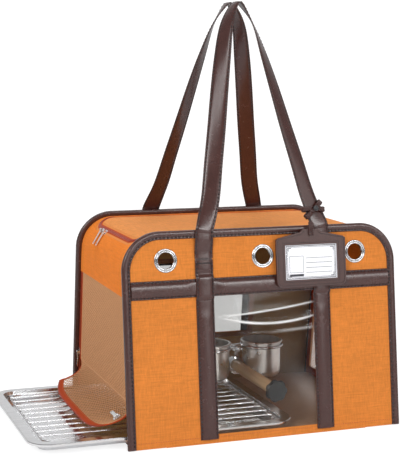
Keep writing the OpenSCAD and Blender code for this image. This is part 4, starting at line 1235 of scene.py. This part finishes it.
def loop_seat():
    """Where the thong grips the right leg of the front handle, turned as the leg is."""
    at = 18 / (HANDLE_TOP - BAG_HEIGHT)
    base = on_panel(HANDLE_LEG, SLANT + 4, 3.8) / MM
    narrowing = (1 - HANDLE_SHARES[0][0]) / HANDLE_SHARES[0][1] * HANDLE_LEG
    middle = Vector((HANDLE_LEG - narrowing * at, *toward_top(base, at)))
    rise = HANDLE_TOP - base.z
    return (Matrix.Translation(middle * MM) @ Matrix.Rotation(math.radians(12), 4, "Z")
            @ Matrix.Rotation(-atan(narrowing / rise), 4, "Y")
            @ Matrix.Rotation(-atan((-base.y - HANDLE_APART) / rise), 4, "X"))


def ring_at(tilt):
    """A flat-sided ring round the strap, as its centre line, tangent and outward normal."""
    turn = loop_seat() @ Matrix.Rotation(math.radians(tilt), 4, "Y")
    up = (turn.to_3x3() @ Vector((0, 0, 1))).normalized()
    a, b = STRAP_WIDTH / 2 + 1.6 + 1.3, STRAP_THICKNESS / 2 + 3.0 + 1.3

    def squared(wave):
        return math.copysign(abs(wave) ** 0.55, wave)

    def centre(s):
        return turn @ (Vector((a * squared(cos(2 * pi * s)), b * squared(sin(2 * pi * s)), 0)) * MM)

    def tangent(s):
        return (centre(s + 0.004) - centre(s - 0.004)).normalized()

    def normal(s):
        return tangent(s).cross(up).normalized()
    return centre, tangent, normal


TAIL_LOW, TAIL_HIGH, TAIL_OUT = 287.5, 306.5, 11.3


def tail_centre(s):
    return on_tag(0, TAIL_HIGH + (TAIL_LOW - TAIL_HIGH) * s, TAIL_OUT)


loops = []
for k, tilt in enumerate((22, -22)):
    loops += braid("thong_ring_%d" % (k + 1), *ring_at(tilt), 8, 150, "handle_front", True, 2.7, 0.8, 1.25)
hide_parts("tag_loop")
tails = braid("thong_tail", tail_centre, lambda s: Vector((0, -S, -C)), lambda s: panel_normal(), 2, 40,
              "tag_hanger", False, 3.3, 0.35, 1.0)
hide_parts("tag_tail")


# ---------------------------------------------------------------- hard parts keep their CAD shape
def dress(node, mat, bevel=0.0):
    """Gives a CAD node its finish, and softens its edges by bevel mm."""
    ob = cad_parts[node]
    ob.data.materials.clear()
    ob.data.materials.append(mat)
    for slot in ob.material_slots:
        slot.material = mat
    for face in ob.data.polygons:
        face.use_smooth = True
    if bevel:
        round_edges(ob, bevel)


for node, bevel in dict(rack_frame=0, rack_bars=0.2, perch_socket=0.4, cup_holder=0.3, wing_nut=0.4).items():
    dress(node, M_STEEL, bevel)
for node in ("cup_left", "cup_right"):
    dress(node, M_CUP, 0.3)
for zip_part in ("lid_%s_rear", "lid_%s_front", "flap_%s", "left_%s", "right_%s"):
    dress(zip_part % "slider", M_ZIP, 0.25)
    dress(zip_part % "pull", M_ZIP, 0.2)
dress("tray", M_BRUSHED, 0.25)
dress("perch_dowel", M_WOOD, 0.5)
dress("perch_knob", M_BLACK, 0.6)
dress("tag_snap", M_BLACK, 0.3)


def eyelet_profile():
    """A rolled eyelet's half section as (radius, height above the panel): both flanges and the tube."""
    prof = []
    for s, face in ((1, 0.0), (-1, -PANEL_THICKNESS)):
        half = [(17.0 - 1.5 * (1 - cos(a)), face + s * 1.2 * sin(a)) for a in steps(0, 0.8 * pi, 8)]
        half += [(12.8 + 1.3 * cos(a), face + s * (0.3 + 0.9 * sin(a))) for a in steps(0, 0.875 * pi, 7)]
        half.append((11.5, face))
        prof += half if s > 0 else half[::-1]
    return prof


for side, label in SIDES:
    for k, x in enumerate(EYELETS_AT):
        rings = [[on_panel(x + r * cos(q), EYELET_UP + r * sin(q), out, side) for r, out in eyelet_profile()]
                 for q in around(72)]
        ob = place(sweep("eyelet_%s_%d" % (label, k + 1), rings, M_CHROME, True, angle=70), "bag", "steel")
        if k == 0:
            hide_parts(label + "_eyelets")


# ---------------------------------------------------------------- stage and light
def mixed(tree, share, first, second, output):
    """Sends a mix of two shaders to an output. share is how much of the second it takes."""
    mix = tree.nodes.new("ShaderNodeMixShader")
    for socket, source in zip(mix.inputs, (share, first, second)):
        tree.links.new(source, socket)
    tree.links.new(mix.outputs[0], output)


def backdrop():
    """A pale floor that curves up into a wall, and glows a little where the camera sees it."""
    ahead = Vector((sin(YAW), cos(YAW), 0))
    bend, far, high = 1.2, 1.6, 5.0
    prof = [(-4.0, 0.0), (far, 0.0)]
    prof += [(far + bend * sin(a), bend - bend * cos(a)) for a in steps(0, pi / 2, 16)[1:]]
    prof += [(far + bend, high)]
    verts = [ahead * d + LEVEL_RIGHT * w + Vector((0, 0, h - 0.0005)) for d, h in prof for w in (-7, 7)]
    faces = [(2 * i, 2 * i + 1, 2 * i + 3, 2 * i + 2) for i in range(len(prof) - 1)]
    me = bpy.data.meshes.new("backdrop")
    me.from_pydata(verts, [], faces)
    mat = plain("paper_white", (0.86, 0.86, 0.865), 0.9, 3, 0.0, 0.01)
    t = mat.node_tree
    glow = t.nodes.new("ShaderNodeEmission")
    glow.inputs["Strength"].default_value = 1.45
    share = t.nodes.new("ShaderNodeMath")
    share.operation = "MULTIPLY"
    share.inputs[1].default_value = 0.55
    t.links.new(t.nodes.new("ShaderNodeLightPath").outputs["Is Camera Ray"], share.inputs[0])
    lit = next(n for n in t.nodes if n.type == "BSDF_PRINCIPLED")
    output = next(n for n in t.nodes if n.type == "OUTPUT_MATERIAL")
    mixed(t, share.outputs[0], lit.outputs[0], glow.outputs[0], output.inputs[0])
    finish_mesh("backdrop", me, mat, 180)


def lamp(name, at, to, size, power, size_y=None):
    d = bpy.data.lights.new(name, "AREA")
    d.energy = power
    d.size = size
    if size_y:
        d.shape = "RECTANGLE"
        d.size_y = size_y
    ob = bpy.data.objects.new(name, d)
    bpy.context.scene.collection.objects.link(ob)
    ob.location = at
    ob.rotation_euler = (Vector(to) - Vector(at)).to_track_quat("-Z", "Y").to_euler()


def studio_world(strength=0.34):
    """A soft even light that the camera itself sees as white."""
    world = bpy.data.worlds.new("studio")
    bpy.context.scene.world = world
    world.use_nodes = True
    t = world.node_tree
    sky, paper = t.nodes["Background"], t.nodes.new("ShaderNodeBackground")
    for node, level in ((sky, strength), (paper, 1.0)):
        node.inputs[0].default_value = (1, 1, 1, 1)
        node.inputs[1].default_value = level
    seen = t.nodes.new("ShaderNodeLightPath").outputs["Is Camera Ray"]
    output = next(n for n in t.nodes if n.type == "OUTPUT_WORLD")
    mixed(t, seen, sky.outputs[0], paper.outputs[0], output.inputs[0])


backdrop()
lamp("key", (-2.5, -1.9, 2.0), (0, 0, 0.2), 1.6, 62)
lamp("fill", (2.2, -1.8, 1.3), (0, 0, 0.2), 1.4, 8)
lamp("top", (0.1, 0.3, 2.6), (0, 0, 0), 2.0, 26)
lamp("strip", (0.95, -2.5, 0.75), (0, -0.1, 0.15), 0.12, 3.5, size_y=1.1)
lamp("bar", (0.75, -2.45, 1.05), (0, -0.1, 0.2), 1.7, 18, size_y=0.42)
studio_world()
bpy.context.scene.view_settings.view_transform = "Standard"
bpy.context.scene.view_settings.look = "None"
